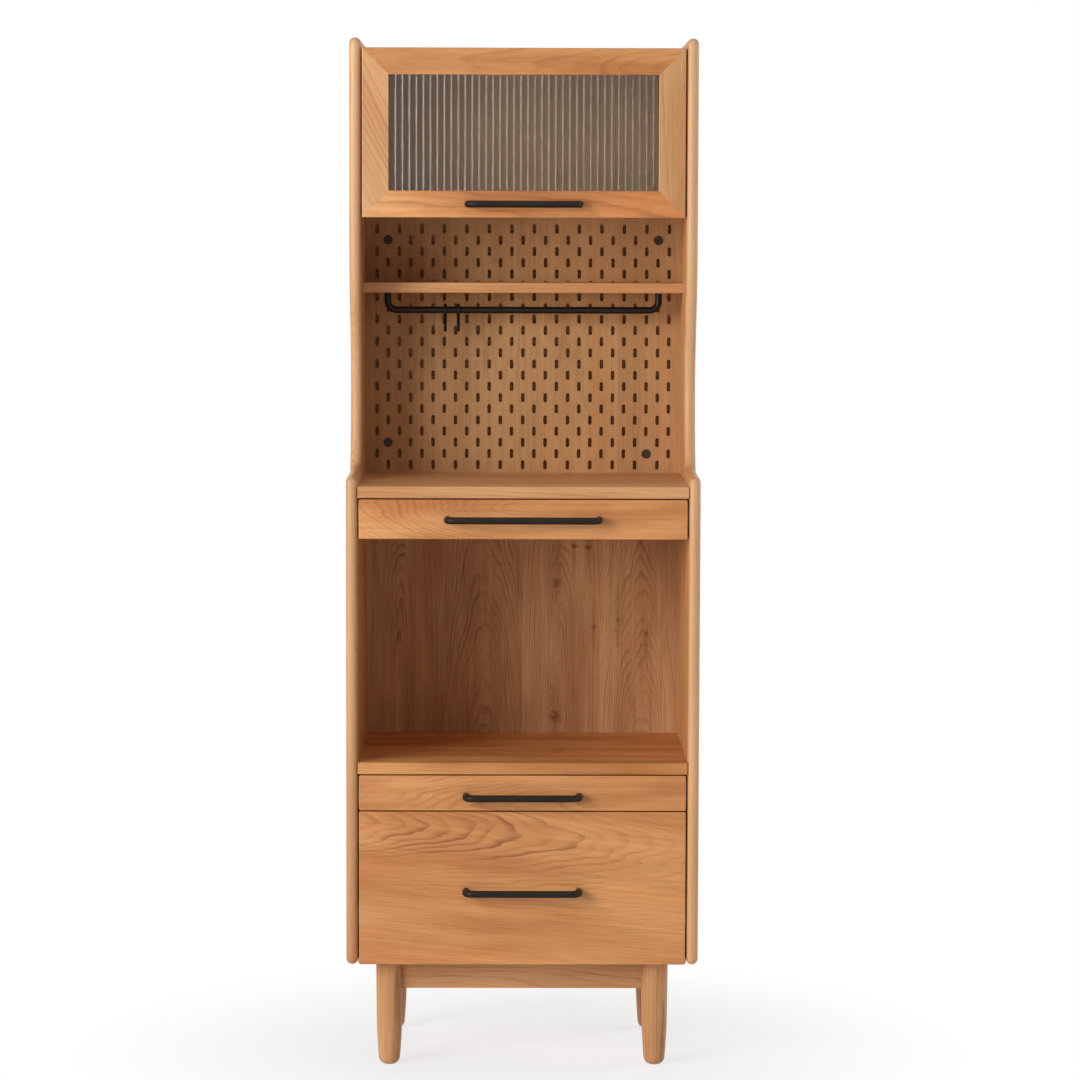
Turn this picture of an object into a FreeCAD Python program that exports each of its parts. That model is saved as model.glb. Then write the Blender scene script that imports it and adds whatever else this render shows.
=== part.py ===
import FreeCAD, Part
import os
import re
import Sketcher

# Tall sideboard: a display box with a reeded glass flap, a pegboard alcove, a worktop, a shallow drawer,
# an open oven bay, two more drawers and a frame with four turned legs.
# Frame: millimetres, front towards -Y, +Z up, origin on the floor below the middle of the whole outline.

# Driving sizes
SIZES = {
    # Cabinet
    "cabinet_width": 600,
    "cabinet_depth": 400,
    "floor_gap": 182,
    "side_thickness": 20,
    "side_round": 9.5,
    "side_corner": 12,
    "panel_thickness": 20,
    "edge_round": 1.5,
    "front_recess": 2,
    "front_clearance": 1,
    # Outline of the side panels
    "upper_setback": 152,
    "waist_drop": 58,
    "waist_reach": 125,
    "waist_hollow": 30.5,
    "shoulder_rear_rise": 21,
    "shoulder_front_rise": 16,
    "shoulder_round": 12,
    "shoulder_hollow": 30,
    # Joinery
    "tongue_length": 6,
    "tongue_thickness": 6,
    "tongue_stop": 25,
    "back_thickness": 8,
    "back_inset": 10,
    "back_groove": 6,
    "worktop_rebate": 3,
    "fit_play": 0.05,
    "cut_overrun": 2,
    # Heights of the horizontal panels
    "bay_floor_height": 530,
    "worktop_height": 1000,
    "alcove_height": 458,
    "divider_thickness": 9,
    "divider_lift": 2,
    "top_panel_drop": 1,
    "top_panel_gap": 10,
    "display_floor_lift": 5,
    "shelf_drop": 118,
    "shelf_thickness": 18,
    "shelf_depth": 105,
    # Pegboard
    "pegboard_thickness": 6,
    "pegboard_gap": 4,
    "slot_width": 6.5,
    "slot_length": 16.5,
    "slot_pitch": 40,
    "slot_row_rise": 20,
    "slot_first_rise": 14,
    "cap_radius": 8,
    "cap_thickness": 2.5,
    "cap_round": 1,
    "cap_screw_radius": 2,
    "cap_screw_grip": 5,
    "spacer_radius": 7,
    "spacer_play": 0.5,
    # Hanging rail and hooks
    "rail_radius": 6,
    "rail_inset": 41,
    "rail_drop": 31,
    "rail_bend": 16,
    "rail_socket": 9,
    "hook_wire_radius": 2.75,
    "hook_play": 0.3,
    "hook_drop": 28,
    "hook_cup": 8,
    "hook_tip": 2,
    "hook_tail": 4,
    "left_hook_distance": 137.5,
    "right_hook_distance": 114.5,
    # Drawer fronts
    "front_thickness": 20,
    "front_corner": 2.5,
    "front_lift": 1,
    "reveal": 2,
    "side_reveal": 2,
    "top_front_height": 67,
    "middle_front_height": 60,
    # Drawer boxes
    "box_wall": 12,
    "box_rear_gap": 30,
    "box_bottom_thickness": 6,
    "box_bottom_rise": 6,
    "box_groove": 6,
    "box_lift": 5,
    "top_box_drop": 10,
    "middle_box_drop": 12,
    "deep_box_drop": 37,
    # Drawer slides
    "slide_space": 13,
    "slide_height": 35,
    "slide_sheet": 1.2,
    "slide_gap": 0.4,
    "slide_flange": 9,
    "slide_setback": 3,
    "deep_slide_rise": 40,
    # Bar handles
    "handle_radius": 6,
    "handle_reach": 36,
    "handle_bend": 13,
    "short_handle_pitch": 192,
    "long_handle_pitch": 256,
    "lower_handle_drop": 5,
    "screw_radius": 2,
    "screw_grip": 10,
    "screw_head_radius": 4,
    "screw_head_thickness": 2.5,
    "screw_sink": 3,
    "screw_hole_play": 0.2,
    # Glass flap
    "door_height": 290,
    "door_drop": 17,
    "door_thickness": 20,
    "door_recess": 2,
    "door_side_gap": 2,
    "frame_width": 46,
    "rebate_width": 9,
    "rebate_lip": 8,
    "glass_thickness": 5,
    "glass_play": 1,
    "glass_seat": 0.2,
    "flute_pitch": 12,
    "flute_rise": 1.2,
    "bead_recess": 1,
    # Flap hinges
    "hinge_length": 51,
    "hinge_distance": 180,
    "hinge_drop": 4,
    "hinge_sheet": 1.5,
    "hinge_leaf_height": 26,
    "hinge_plate_height": 16,
    "hinge_pin_radius": 1.5,
    "knuckle_radius": 3,
    "knuckle_gap": 0.5,
    # Gas struts
    "strut_reach_share": 0.6845966,
    "strut_fall_share": 0.3846571,
    "strut_inset": 10,
    "strut_stud_rise": 12,
    "strut_stud_radius": 3,
    "strut_eye_radius": 6,
    "strut_eye_width": 7,
    "strut_radius": 7.5,
    "strut_neck": 12,
    "strut_neck_radius": 4,
    "strut_wall": 2,
    "strut_end_gap": 14,
    "strut_rod_radius": 3,
    "strut_rod_play": 0.4,
    "strut_rod_margin": 1,
    "bracket_sheet": 2,
    "bracket_width": 16,
    "bracket_height": 30,
    "bracket_ear": 7,
    "bracket_ear_inset": 1,
    "stud_overhang": 1,
    # Legs and aprons
    "leg_inset": 72,
    "leg_setback": 55,
    "leg_radius": 23,
    "leg_knee_radius": 22,
    "leg_knee_height": 91,
    "leg_belly": 940,
    "leg_foot_radius": 17,
    "leg_foot_round": 13,
    "apron_height": 50,
    "apron_thickness": 16,
    "apron_inset": 6,
    "apron_seat": 14.5,
}

# Places and lengths that follow from the driving sizes
PLACES = {
    # Carcass
    "front_y": "-(cabinet_depth + front_recess - handle_reach) / 2",
    "side_x": "-cabinet_width / 2",
    "cabinet_height": "worktop_height + alcove_height - display_floor_lift + door_height + door_drop",
    "side_height": "cabinet_height - floor_gap",
    "shoulder_rear_height": "worktop_height + shoulder_rear_rise",
    "shoulder_front_height": "worktop_height + shoulder_front_rise",
    "waist_top_height": "worktop_height + alcove_height - waist_drop",
    "waist_middle_height": "waist_top_height - waist_reach",
    "waist_low_height": "waist_middle_height - waist_reach",
    "waist_middle_setback": "upper_setback + waist_hollow",
    "waist_radius": "(waist_hollow ^ 2 + waist_reach ^ 2) / (2 * waist_hollow)",
    "waist_return": "sqrt(waist_radius ^ 2 - (waist_low_height - shoulder_rear_height) ^ 2)",
    "shoulder_setback": "waist_middle_setback + waist_hollow - waist_radius + waist_return",
    "inner_width": "cabinet_width - 2 * side_thickness",
    "inner_x": "-inner_width / 2",
    "fronts_y": "front_y + front_recess",
    "fronts_back_y": "fronts_y + front_thickness",
    "carcass_y": "fronts_back_y + front_clearance",
    "back_rear_y": "front_y + cabinet_depth - back_inset",
    "back_front_y": "back_rear_y - back_thickness",
    "pegboard_y": "back_front_y - pegboard_gap - pegboard_thickness",
    # Flap
    "door_width": "inner_width - 2 * door_side_gap",
    "door_x": "-door_width / 2",
    "door_y": "front_y + upper_setback + door_recess",
    "door_back_y": "door_y + door_thickness",
    "door_top_z": "cabinet_height - door_drop",
    "door_z": "door_top_z - door_height",
    "glass_width": "door_width - 2 * (frame_width - rebate_width + glass_play)",
    "glass_height": "door_height - 2 * (frame_width - rebate_width + glass_play)",
    "bead_y": "door_y + rebate_lip + glass_seat + glass_thickness",
    "bead_thickness": "door_back_y - bead_recess - bead_y",
    "hinge_y": "door_back_y + knuckle_radius + knuckle_gap",
    "hinge_z": "door_top_z - hinge_drop",
    # Horizontal panels
    "top_panel_y": "door_back_y + top_panel_gap",
    "top_panel_z": "door_top_z - top_panel_drop - panel_thickness",
    "top_panel_depth": "back_rear_y - top_panel_y",
    "display_floor_y": "door_back_y + front_clearance",
    "display_floor_z": "door_z + display_floor_lift",
    "display_floor_depth": "back_front_y - display_floor_y",
    "shelf_y": "pegboard_y - shelf_depth",
    "shelf_z": "worktop_height + alcove_height - shelf_drop - shelf_thickness",
    "worktop_z": "worktop_height - panel_thickness",
    "worktop_depth": "back_rear_y - fronts_y",
    "bay_floor_z": "bay_floor_height - panel_thickness",
    "bay_floor_depth": "back_front_y - fronts_y",
    "divider_z": "top_front_z + divider_lift",
    "divider_depth": "back_front_y - carcass_y",
    "bottom_depth": "back_rear_y - carcass_y",
    # Pegboard and rail
    "alcove_z": "worktop_height - worktop_rebate",
    "back_width": "inner_width + 2 * back_groove",
    "rail_span": "inner_width - 2 * rail_inset",
    "rail_y": "shelf_y + shelf_depth / 2",
    "rail_z": "shelf_z - rail_drop",
    "rail_length": "rail_drop + rail_socket",
    "hook_loop": "rail_radius + hook_play + hook_wire_radius",
    "hook_sine": "(hook_loop + hook_cup) / hook_drop",
    "hook_cosine": "sqrt(1 - hook_sine ^ 2)",
    # Drawers
    "front_width": "inner_width - 2 * side_reveal",
    "top_front_z": "worktop_z - reveal - top_front_height",
    "middle_front_z": "bay_floor_z - reveal - middle_front_height",
    "deep_front_z": "floor_gap + front_lift",
    "deep_front_height": "middle_front_z - reveal - deep_front_z",
    "box_width": "inner_width - 2 * slide_space",
    "box_x": "-box_width / 2",
    "box_inner_width": "box_width - 2 * box_wall",
    "box_length": "back_front_y - fronts_back_y - box_rear_gap",
    "top_box_z": "divider_z + divider_thickness + box_lift",
    "middle_box_z": "middle_front_z + box_lift",
    "deep_box_z": "floor_gap + panel_thickness + box_lift",
    "top_box_height": "worktop_z - top_box_drop - top_box_z",
    "middle_box_height": "bay_floor_z - middle_box_drop - middle_box_z",
    "deep_box_height": "deep_front_z + deep_front_height - deep_box_drop - deep_box_z",
    "top_slide_z": "top_box_z + (top_box_height - slide_height) / 2",
    "middle_slide_z": "middle_box_z + (middle_box_height - slide_height) / 2",
    "deep_slide_z": "deep_box_z + deep_slide_rise",
    "slide_y": "fronts_back_y + slide_setback",
    "slide_step": "slide_sheet + slide_gap",
    "handle_arm": "handle_reach - handle_radius",
    # Gas struts
    "strut_reach": "strut_reach_share * (back_front_y - hinge_y)",
    "strut_pivot_drop": "strut_fall_share * strut_reach",
    "strut_arm": "sqrt(strut_reach ^ 2 + strut_pivot_drop ^ 2)",
    "door_pivot_y": "door_back_y + strut_stud_rise",
    "door_pivot_z": "hinge_z - sqrt(strut_arm ^ 2 - (door_pivot_y - hinge_y) ^ 2)",
    "cabinet_pivot_y": "hinge_y + strut_reach",
    "cabinet_pivot_z": "hinge_z - strut_pivot_drop",
    "strut_back": "cabinet_pivot_y - door_pivot_y",
    "strut_rise": "cabinet_pivot_z - door_pivot_z",
    "strut_rest": "sqrt(strut_back ^ 2 + strut_rise ^ 2)",
    "strut_eye_wall": "(strut_eye_radius + strut_stud_radius) / 2",
    "strut_tube": "strut_rest - strut_neck - strut_end_gap",
    "strut_rod": "strut_rest - strut_neck - strut_wall - strut_rod_margin",
    "stud_end": "strut_inset + strut_eye_width / 2 + stud_overhang",
    # Legs
    "leg_x": "side_x + leg_inset",
    "front_leg_y": "front_y + leg_setback",
    "rear_leg_y": "front_y + cabinet_depth - leg_setback",
    "mortise_depth": "leg_radius - apron_seat + cut_overrun",
}

# Slots of the pegboard that hold caps: column from the left and row from below, or negative from the
# right and from above
CAPPED_SLOTS = ((0, -2), (-1, -2), (0, 2), (-2, 1))

# Horizontal panels with a tongue at each end: place from the front, height, depth, thickness
PANELS = {
    "top_panel": ("top_panel_y", "top_panel_z", "top_panel_depth", "panel_thickness"),
    "display_floor": ("display_floor_y", "display_floor_z", "display_floor_depth", "panel_thickness"),
    "spice_shelf": ("shelf_y", "shelf_z", "shelf_depth", "shelf_thickness"),
    "worktop": ("fronts_y", "worktop_z", "worktop_depth", "panel_thickness"),
    "drawer_divider": ("carcass_y", "divider_z", "divider_depth", "divider_thickness"),
    "oven_bay_floor": ("fronts_y", "bay_floor_z", "bay_floor_depth", "panel_thickness"),
    "bottom_panel": ("carcass_y", "floor_gap", "bottom_depth", "panel_thickness"),
}

# Panels whose front edge shows and is eased
EASED_PANELS = ("spice_shelf", "worktop", "oven_bay_floor")

# Drawers: height and rise of the front, height and rise of the box, rise of the slides, handle pitch, drop of
# the handle below the middle of the front
DRAWERS = {
    "top_drawer": (
        "top_front_height", "top_front_z", "top_box_height", "top_box_z", "top_slide_z",
        "long_handle_pitch", "0",
    ),
    "middle_drawer": (
        "middle_front_height", "middle_front_z", "middle_box_height", "middle_box_z", "middle_slide_z",
        "short_handle_pitch", "lower_handle_drop",
    ),
    "deep_drawer": (
        "deep_front_height", "deep_front_z", "deep_box_height", "deep_box_z", "deep_slide_z",
        "short_handle_pitch", "lower_handle_drop",
    ),
}

QUARTER_TURN = 90
FULL_TURN = 360
NEAR = 1e-4

DOC = FreeCAD.newDocument("sideboard")
NODES = {}


def formula(text):
    """Write a formula in plain size names as one that the document binds."""
    def full_name(match):
        word = match.group()
        if word in SIZES:
            return f"Sizes.{word}"
        if word in PLACES:
            return f"Places.{word}"
        return word
    return re.sub(r"[a-z_]+", full_name, text)


def fill_sheet(name, cells):
    """Spreadsheet with one named cell in each row."""
    sheet = DOC.addObject("Spreadsheet::Sheet", name)
    for row, (alias, content) in enumerate(cells.items(), start=1):
        sheet.set(f"A{row}", alias)
        sheet.set(f"B{row}", content)
        sheet.setAlias(f"B{row}", alias)
    DOC.recompute()
    return sheet


SIZE_SHEET = fill_sheet("Sizes", {name: str(size) for name, size in SIZES.items()})
PLACE_SHEET = fill_sheet("Places", {name: "=" + formula(text) for name, text in PLACES.items()})


def value(text):
    """Number that a formula gives with the present sizes."""
    return float(PLACE_SHEET.evalExpression(formula(text)))


def bind(item, **sizes):
    """Bind properties of an object to formulas."""
    for name, text in sizes.items():
        item.setExpression(name, formula(text))


def place(item, x, y, z):
    """Bind the position of an object to formulas."""
    for axis, text in zip("xyz", (x, y, z)):
        item.setExpression(f"Placement.Base.{axis}", formula(text))


def node(item, label):
    """Keep an object as the named sub-part."""
    item.Label = label
    NODES[label] = item
    return item


def new_body(name, x, y, z):
    """Empty body with its corner or axis at the given place."""
    body = DOC.addObject("PartDesign::Body", name)
    place(body, x, y, z)
    return body


def add_feature(body, kind):
    return body.newObject(f"PartDesign::{kind}", f"{body.Name}_{kind}")


def block(body, kind, corner, size):
    """Add or cut a box, kind being Additive or Subtractive."""
    feature = add_feature(body, f"{kind}Box")
    bind(feature, Length=size[0], Width=size[1], Height=size[2])
    place(feature, *corner)


def rod(body, kind, start, axis, radius, length):
    """Add or cut a cylinder that runs from start along a positive axis."""
    turns = {"x": (0, QUARTER_TURN, 0), "y": (0, 0, -QUARTER_TURN), "z": (0, 0, 0)}
    feature = add_feature(body, f"{kind}Cylinder")
    bind(feature, Radius=radius, Height=length)
    feature.Placement = FreeCAD.Placement(FreeCAD.Vector(), FreeCAD.Rotation(*turns[axis]))
    place(feature, *start)


def on_plane(bounds, axis, height):
    """Whether the bounds of an edge lie flat in a plane square to an axis."""
    low = getattr(bounds, f"{axis}Min")
    high = getattr(bounds, f"{axis}Max")
    return abs(low - height) < NEAR and abs(high - height) < NEAR


def round_edges(body, radius, wanted):
    """Round those edges of the body so far whose bounds are wanted."""
    DOC.recompute()
    base = body.Tip
    edges = enumerate(base.Shape.Edges, start=1)
    names = [f"Edge{number}" for number, edge in edges if wanted(edge.BoundBox)]
    fillet = add_feature(body, "Fillet")
    fillet.Base = (base, names)
    bind(fillet, Radius=radius)


def new_sketch(body, role):
    """Sketch on one of the body's own origin planes."""
    sketch = body.newObject("Sketcher::SketchObject", f"{body.Name}_sketch")
    plane = next(feature for feature in body.Origin.OriginFeatures if feature.Role == role)
    sketch.AttachmentSupport = [(plane, "")]
    sketch.MapMode = "FlatFace"
    return sketch


def constrain(sketch, text, *constraint):
    """Add a dimension to a sketch and bind it to a formula."""
    number = sketch.addConstraint(Sketcher.Constraint(*constraint, value(text)))
    sketch.setExpression(f"Constraints[{number}]", formula(text))


def draw(sketch, corners, arcs, closed):
    """Outline through corners; arcs maps an edge's number to its radius and swelling side, +1 left."""
    points = [FreeCAD.Vector(value(across), value(up), 0) for across, up in corners]
    edge_count = len(points) if closed else len(points) - 1
    for number in range(edge_count):
        start = points[number]
        end = points[(number + 1) % len(points)]
        if number in arcs:
            radius_text, swell = arcs[number]
            radius = value(radius_text)
            chord = end - start
            left = FreeCAD.Vector(-chord.y, chord.x, 0).normalize()
            sagitta = radius - (radius ** 2 - (chord.Length / 2) ** 2) ** 0.5
            crown = (start + end) * 0.5 + left * (swell * sagitta)
            sketch.addGeometry(Part.Arc(start, crown, end), False)
        else:
            sketch.addGeometry(Part.LineSegment(start, end), False)

    def end_at(number, point):
        """Which end of an edge lies at a point: 1 is its start, 2 its end."""
        return 1 if sketch.getPoint(number, 1).distanceToPoint(point) < NEAR else 2

    for number, point in enumerate(points):
        edge = min(number, edge_count - 1)
        end = end_at(edge, point)
        if closed or 0 < number < edge_count:
            before = (number - 1) % edge_count
            sketch.addConstraint(Sketcher.Constraint("Coincident", before, end_at(before, point), edge, end))
        across, up = corners[number]
        constrain(sketch, across, "DistanceX", -1, 1, edge, end)
        constrain(sketch, up, "DistanceY", -1, 1, edge, end)
    for number, arc in arcs.items():
        constrain(sketch, arc[0], "Radius", number)


def pad(body, role, corners, arcs, length):
    """Pad a closed outline, towards +X from the YZ plane or towards +Y from the XZ plane."""
    sketch = new_sketch(body, role)
    draw(sketch, corners, arcs, True)
    feature = add_feature(body, "Pad")
    feature.Profile = sketch
    feature.Reversed = role == "XZ_Plane"
    bind(feature, Length=length)


def bent_bar(body, profile_role, path_role, radius, corners, arcs):
    """Round bar that follows an open path from the body's origin."""
    profile = new_sketch(body, profile_role)
    profile.addGeometry(Part.Circle(FreeCAD.Vector(), FreeCAD.Vector(0, 0, 1), value(radius)), False)
    profile.addConstraint(Sketcher.Constraint("Coincident", 0, 3, -1, 1))
    constrain(profile, radius, "Radius", 0)
    path = new_sketch(body, path_role)
    draw(path, corners, arcs, False)
    DOC.recompute()
    feature = add_feature(body, "AdditivePipe")
    feature.Profile = profile
    feature.Spine = path


def u_path(span, reach, bend):
    """Corners and arcs of a U that leaves the origin downwards and comes back a span away."""
    corners = [
        ("0", "0"),
        ("0", f"{bend} - {reach}"),
        (bend, f"-{reach}"),
        (f"{span} - {bend}", f"-{reach}"),
        (span, f"{bend} - {reach}"),
        (span, "0"),
    ]
    return corners, {1: (bend, -1), 3: (bend, -1)}


def mirrored(item, name):
    """Copy of an object on the other side of the cabinet's middle plane."""
    mirror = DOC.addObject("Part::Mirroring", name)
    mirror.Source = item
    mirror.Normal = FreeCAD.Vector(1, 0, 0)
    return mirror


def group(label, items):
    """One sub-part made of several separate solids."""
    compound = DOC.addObject("Part::Compound", label)
    compound.Links = items
    return node(compound, label)


def pair(label, left):
    """Sub-part made of a left solid and its mirror image."""
    return group(label, [left, mirrored(left, f"{left.Name}_mirror")])


def side_panels():
    """Side panels whose front edge bends back to a hollow waist and comes forward to a shoulder."""
    body = new_body("left_side_panel", "side_x", "front_y", "floor_gap")
    corners = [
        ("0", "0"),
        ("0", "shoulder_front_height - floor_gap"),
        ("shoulder_setback", "shoulder_rear_height - floor_gap"),
        ("waist_middle_setback", "waist_middle_height - floor_gap"),
        ("upper_setback", "waist_top_height - floor_gap"),
        ("upper_setback", "side_height"),
        ("cabinet_depth", "side_height"),
        ("cabinet_depth", "0"),
    ]
    arcs = {2: ("waist_radius", -1), 3: ("waist_radius", 1)}
    pad(body, "YZ_Plane", corners, arcs, "side_thickness")

    def corner_test(*names):
        """Test for the crosswise edges at corners of the outline, given as pairs of formulas."""
        places = [(value(across), value(up)) for across, up in names]
        return lambda bounds: any(
            on_plane(bounds, "Y", across) and on_plane(bounds, "Z", up) for across, up in places
        )

    round_edges(body, "shoulder_round", corner_test(corners[1]))
    round_edges(body, "shoulder_hollow", corner_test(corners[2]))
    round_edges(body, "side_corner", corner_test(corners[0], corners[5]))
    thickness = value("side_thickness")
    rear = value("cabinet_depth")

    def long_edge(bounds):
        """Edges of the two broad faces, without the rear edge."""
        broad = on_plane(bounds, "X", 0) or on_plane(bounds, "X", thickness)
        return broad and not on_plane(bounds, "Y", rear)

    round_edges(body, "side_round", long_edge)
    for y, z, depth, thick in PANELS.values():
        corner = (
            "side_thickness - tongue_length",
            f"{y} - front_y + tongue_stop",
            f"{z} - floor_gap + ({thick} - tongue_thickness) / 2",
        )
        size = ("tongue_length + cut_overrun", f"{depth} - 2 * tongue_stop", "tongue_thickness")
        block(body, "Subtractive", corner, size)
    block(
        body, "Subtractive",
        ("side_thickness - back_groove", "back_front_y - front_y", "-cut_overrun"),
        ("back_groove + cut_overrun", "back_thickness", "top_panel_z - floor_gap + cut_overrun"),
    )
    node(body, "left_side_panel")
    node(mirrored(body, "right_side_panel"), "right_side_panel")


def horizontal_panels():
    """Panels between the sides, each with a stopped tongue at either end."""
    for label, (y, z, depth, thick) in PANELS.items():
        body = new_body(label, "inner_x", y, z)
        block(body, "Additive", ("0", "0", "0"), ("inner_width", depth, thick))
        if label in EASED_PANELS:
            round_edges(body, "edge_round", lambda bounds: on_plane(bounds, "Y", 0) and bounds.XLength > NEAR)
        tongue = ("tongue_length", f"{depth} - 2 * tongue_stop", "tongue_thickness")
        for x in ("-tongue_length", "inner_width"):
            block(body, "Additive", (x, "tongue_stop", f"({thick} - tongue_thickness) / 2"), tongue)
        if label == "worktop":
            corner = ("-cut_overrun", "pegboard_y - fronts_y", "panel_thickness - worktop_rebate")
            length = "back_rear_y - pegboard_y + cut_overrun"
            size = ("inner_width + 2 * cut_overrun", length, "worktop_rebate + cut_overrun")
            block(body, "Subtractive", corner, size)
        if label == "spice_shelf":
            for x in ("(inner_width - rail_span) / 2", "(inner_width + rail_span) / 2"):
                start = (x, "rail_y - shelf_y", "0")
                rod(body, "Subtractive", start, "z", "rail_radius + fit_play", "rail_socket")
        node(body, label)


def slot_rows():
    """Staggered rows of slots from below, each a list of places from the middle in pitches."""
    row_count = 1 + int(value("(alcove_height - slot_first_rise - slot_length / 2) / slot_row_rise"))
    most = int(value("inner_width / slot_pitch") + NEAR)
    counts = [most - 1 + row % 2 for row in range(row_count)]
    return [[column - (count - 1) / 2 for column in range(count)] for count in counts]


def cap_places():
    """Places of the capped slots, in pitches from the middle and rows from the lowest."""
    rows = slot_rows()
    return [(rows[row][column], row % len(rows)) for column, row in CAPPED_SLOTS]


def back_panels():
    """Upper and lower back, let into grooves of the sides and held between horizontal panels."""
    spans = {
        "upper_back_panel": ("alcove_z", "top_panel_z - alcove_z"),
        "lower_back_panel": ("floor_gap + panel_thickness", "worktop_z - floor_gap - panel_thickness"),
    }
    for label, (z, height) in spans.items():
        body = new_body(label, "inner_x - back_groove", "back_front_y", z)
        block(body, "Additive", ("0", "0", "0"), ("back_width", "back_thickness", height))
        if label == "upper_back_panel":
            for column, row in cap_places():
                x = f"back_width / 2 + {column} * slot_pitch"
                start = (x, "0", f"worktop_rebate + slot_first_rise + {row} * slot_row_rise")
                rod(body, "Subtractive", start, "y", "cap_screw_radius + fit_play", "cap_screw_grip")
        node(body, label)


def pegboard():
    """Board with staggered rows of upright slots with round ends."""
    width = value("inner_width")
    foot = value("-worktop_rebate")
    height = value("alcove_height")
    half_slot = value("slot_width / 2")
    half_straight = value("(slot_length - slot_width) / 2")
    pitch = value("slot_pitch")

    def slot(x, z):
        low = z - half_straight
        high = z + half_straight
        left = x - half_slot
        right = x + half_slot
        edges = [
            Part.LineSegment(FreeCAD.Vector(right, 0, low), FreeCAD.Vector(right, 0, high)),
            Part.Arc(
                FreeCAD.Vector(right, 0, high),
                FreeCAD.Vector(x, 0, high + half_slot),
                FreeCAD.Vector(left, 0, high),
            ),
            Part.LineSegment(FreeCAD.Vector(left, 0, high), FreeCAD.Vector(left, 0, low)),
            Part.Arc(
                FreeCAD.Vector(left, 0, low),
                FreeCAD.Vector(x, 0, low - half_slot),
                FreeCAD.Vector(right, 0, low),
            ),
        ]
        return Part.Wire([edge.toShape() for edge in edges])

    wires = [Part.makePolygon([
        FreeCAD.Vector(0, 0, foot),
        FreeCAD.Vector(width, 0, foot),
        FreeCAD.Vector(width, 0, height),
        FreeCAD.Vector(0, 0, height),
        FreeCAD.Vector(0, 0, foot),
    ])]
    for row, columns in enumerate(slot_rows()):
        z = value("slot_first_rise") + row * value("slot_row_rise")
        wires += [slot(width / 2 + column * pitch, z) for column in columns]
    board = DOC.addObject("Part::Feature", "pegboard")
    face = Part.makeFace(wires, "Part::FaceMakerBullseye")
    board.Shape = face.extrude(FreeCAD.Vector(0, value("pegboard_thickness"), 0))
    place(board, "inner_x", "pegboard_y", "worktop_height")
    node(board, "pegboard")


def pegboard_fixings():
    """Cap screws through slots of the pegboard, each with a spacer behind the board."""
    pieces = []
    for number, (column, row) in enumerate(cap_places()):
        x = f"{column} * slot_pitch"
        z = f"worktop_height + slot_first_rise + {row} * slot_row_rise"
        screw = new_body(f"cap_screw_{number}", x, "pegboard_y - cap_thickness", z)
        rod(screw, "Additive", ("0", "0", "0"), "y", "cap_radius", "cap_thickness")
        round_edges(screw, "cap_round", lambda bounds: on_plane(bounds, "Y", 0))
        shank = "pegboard_thickness + pegboard_gap + cap_screw_grip"
        rod(screw, "Additive", ("0", "cap_thickness", "0"), "y", "cap_screw_radius", shank)
        spacer = new_body(f"pegboard_spacer_{number}", x, "pegboard_y + pegboard_thickness", z)
        rod(spacer, "Additive", ("0", "0", "0"), "y", "spacer_radius", "pegboard_gap")
        start = ("0", "-cut_overrun", "0")
        length = "pegboard_gap + 2 * cut_overrun"
        rod(spacer, "Subtractive", start, "y", "cap_screw_radius + spacer_play", length)
        pieces += [screw, spacer]
    group("pegboard_fixings", pieces)


def hanging_rail():
    """U rail that drops from two sockets under the spice shelf."""
    body = new_body("hanging_rail", "-rail_span / 2", "rail_y", "shelf_z + rail_socket")
    bent_bar(body, "XY_Plane", "XZ_Plane", "rail_radius", *u_path("rail_span", "rail_length", "rail_bend"))
    node(body, "hanging_rail")


def hooks():
    """S hooks that hang on the rail, with both loops below each other and a slanting tangent between."""
    outline = [
        ("hook_loop", "-hook_tail"),
        ("hook_loop", "0"),
        ("0", "hook_loop"),
        ("-hook_loop", "0"),
        ("-hook_loop * hook_cosine", "-hook_loop * hook_sine"),
        ("hook_cup * hook_cosine", "hook_cup * hook_sine - hook_drop"),
        ("hook_cup", "-hook_drop"),
        ("0", "-hook_drop - hook_cup"),
        ("-hook_cup", "-hook_drop"),
        ("-hook_cup", "hook_tip - hook_drop"),
    ]
    corners = [(f"{across} - hook_loop", f"{up} + hook_tail") for across, up in outline]
    arcs = {number: ("hook_loop", -1) for number in (1, 2, 3)}
    arcs.update({number: ("hook_cup", 1) for number in (5, 6, 7)})
    for label in ("left_hook", "right_hook"):
        body = new_body(label, f"-{label}_distance", "rail_y + hook_loop", "rail_z - hook_tail")
        bent_bar(body, "XY_Plane", "YZ_Plane", "hook_wire_radius", corners, arcs)
        node(body, label)


def handle(label, pitch, y, z, thickness):
    """Bent bar handle with its two screws through a front of the given thickness."""
    bar = new_body(label, f"-{pitch} / 2", y, z)
    bent_bar(bar, "XZ_Plane", "XY_Plane", "handle_radius", *u_path(pitch, "handle_arm", "handle_bend"))
    for x in ("0", pitch):
        rod(bar, "Subtractive", (x, "-screw_grip", "0"), "y", "screw_radius + fit_play", "screw_grip")
    node(bar, label)
    screw = new_body(f"{label}_screw", f"-{pitch} / 2", f"{y} - screw_grip", z)
    shank = f"screw_grip + {thickness} - screw_sink"
    rod(screw, "Additive", ("0", "0", "0"), "y", "screw_radius", shank)
    rod(screw, "Additive", ("0", shank, "0"), "y", "screw_head_radius", "screw_head_thickness")
    pair(f"{label}_screws", screw)


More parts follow.
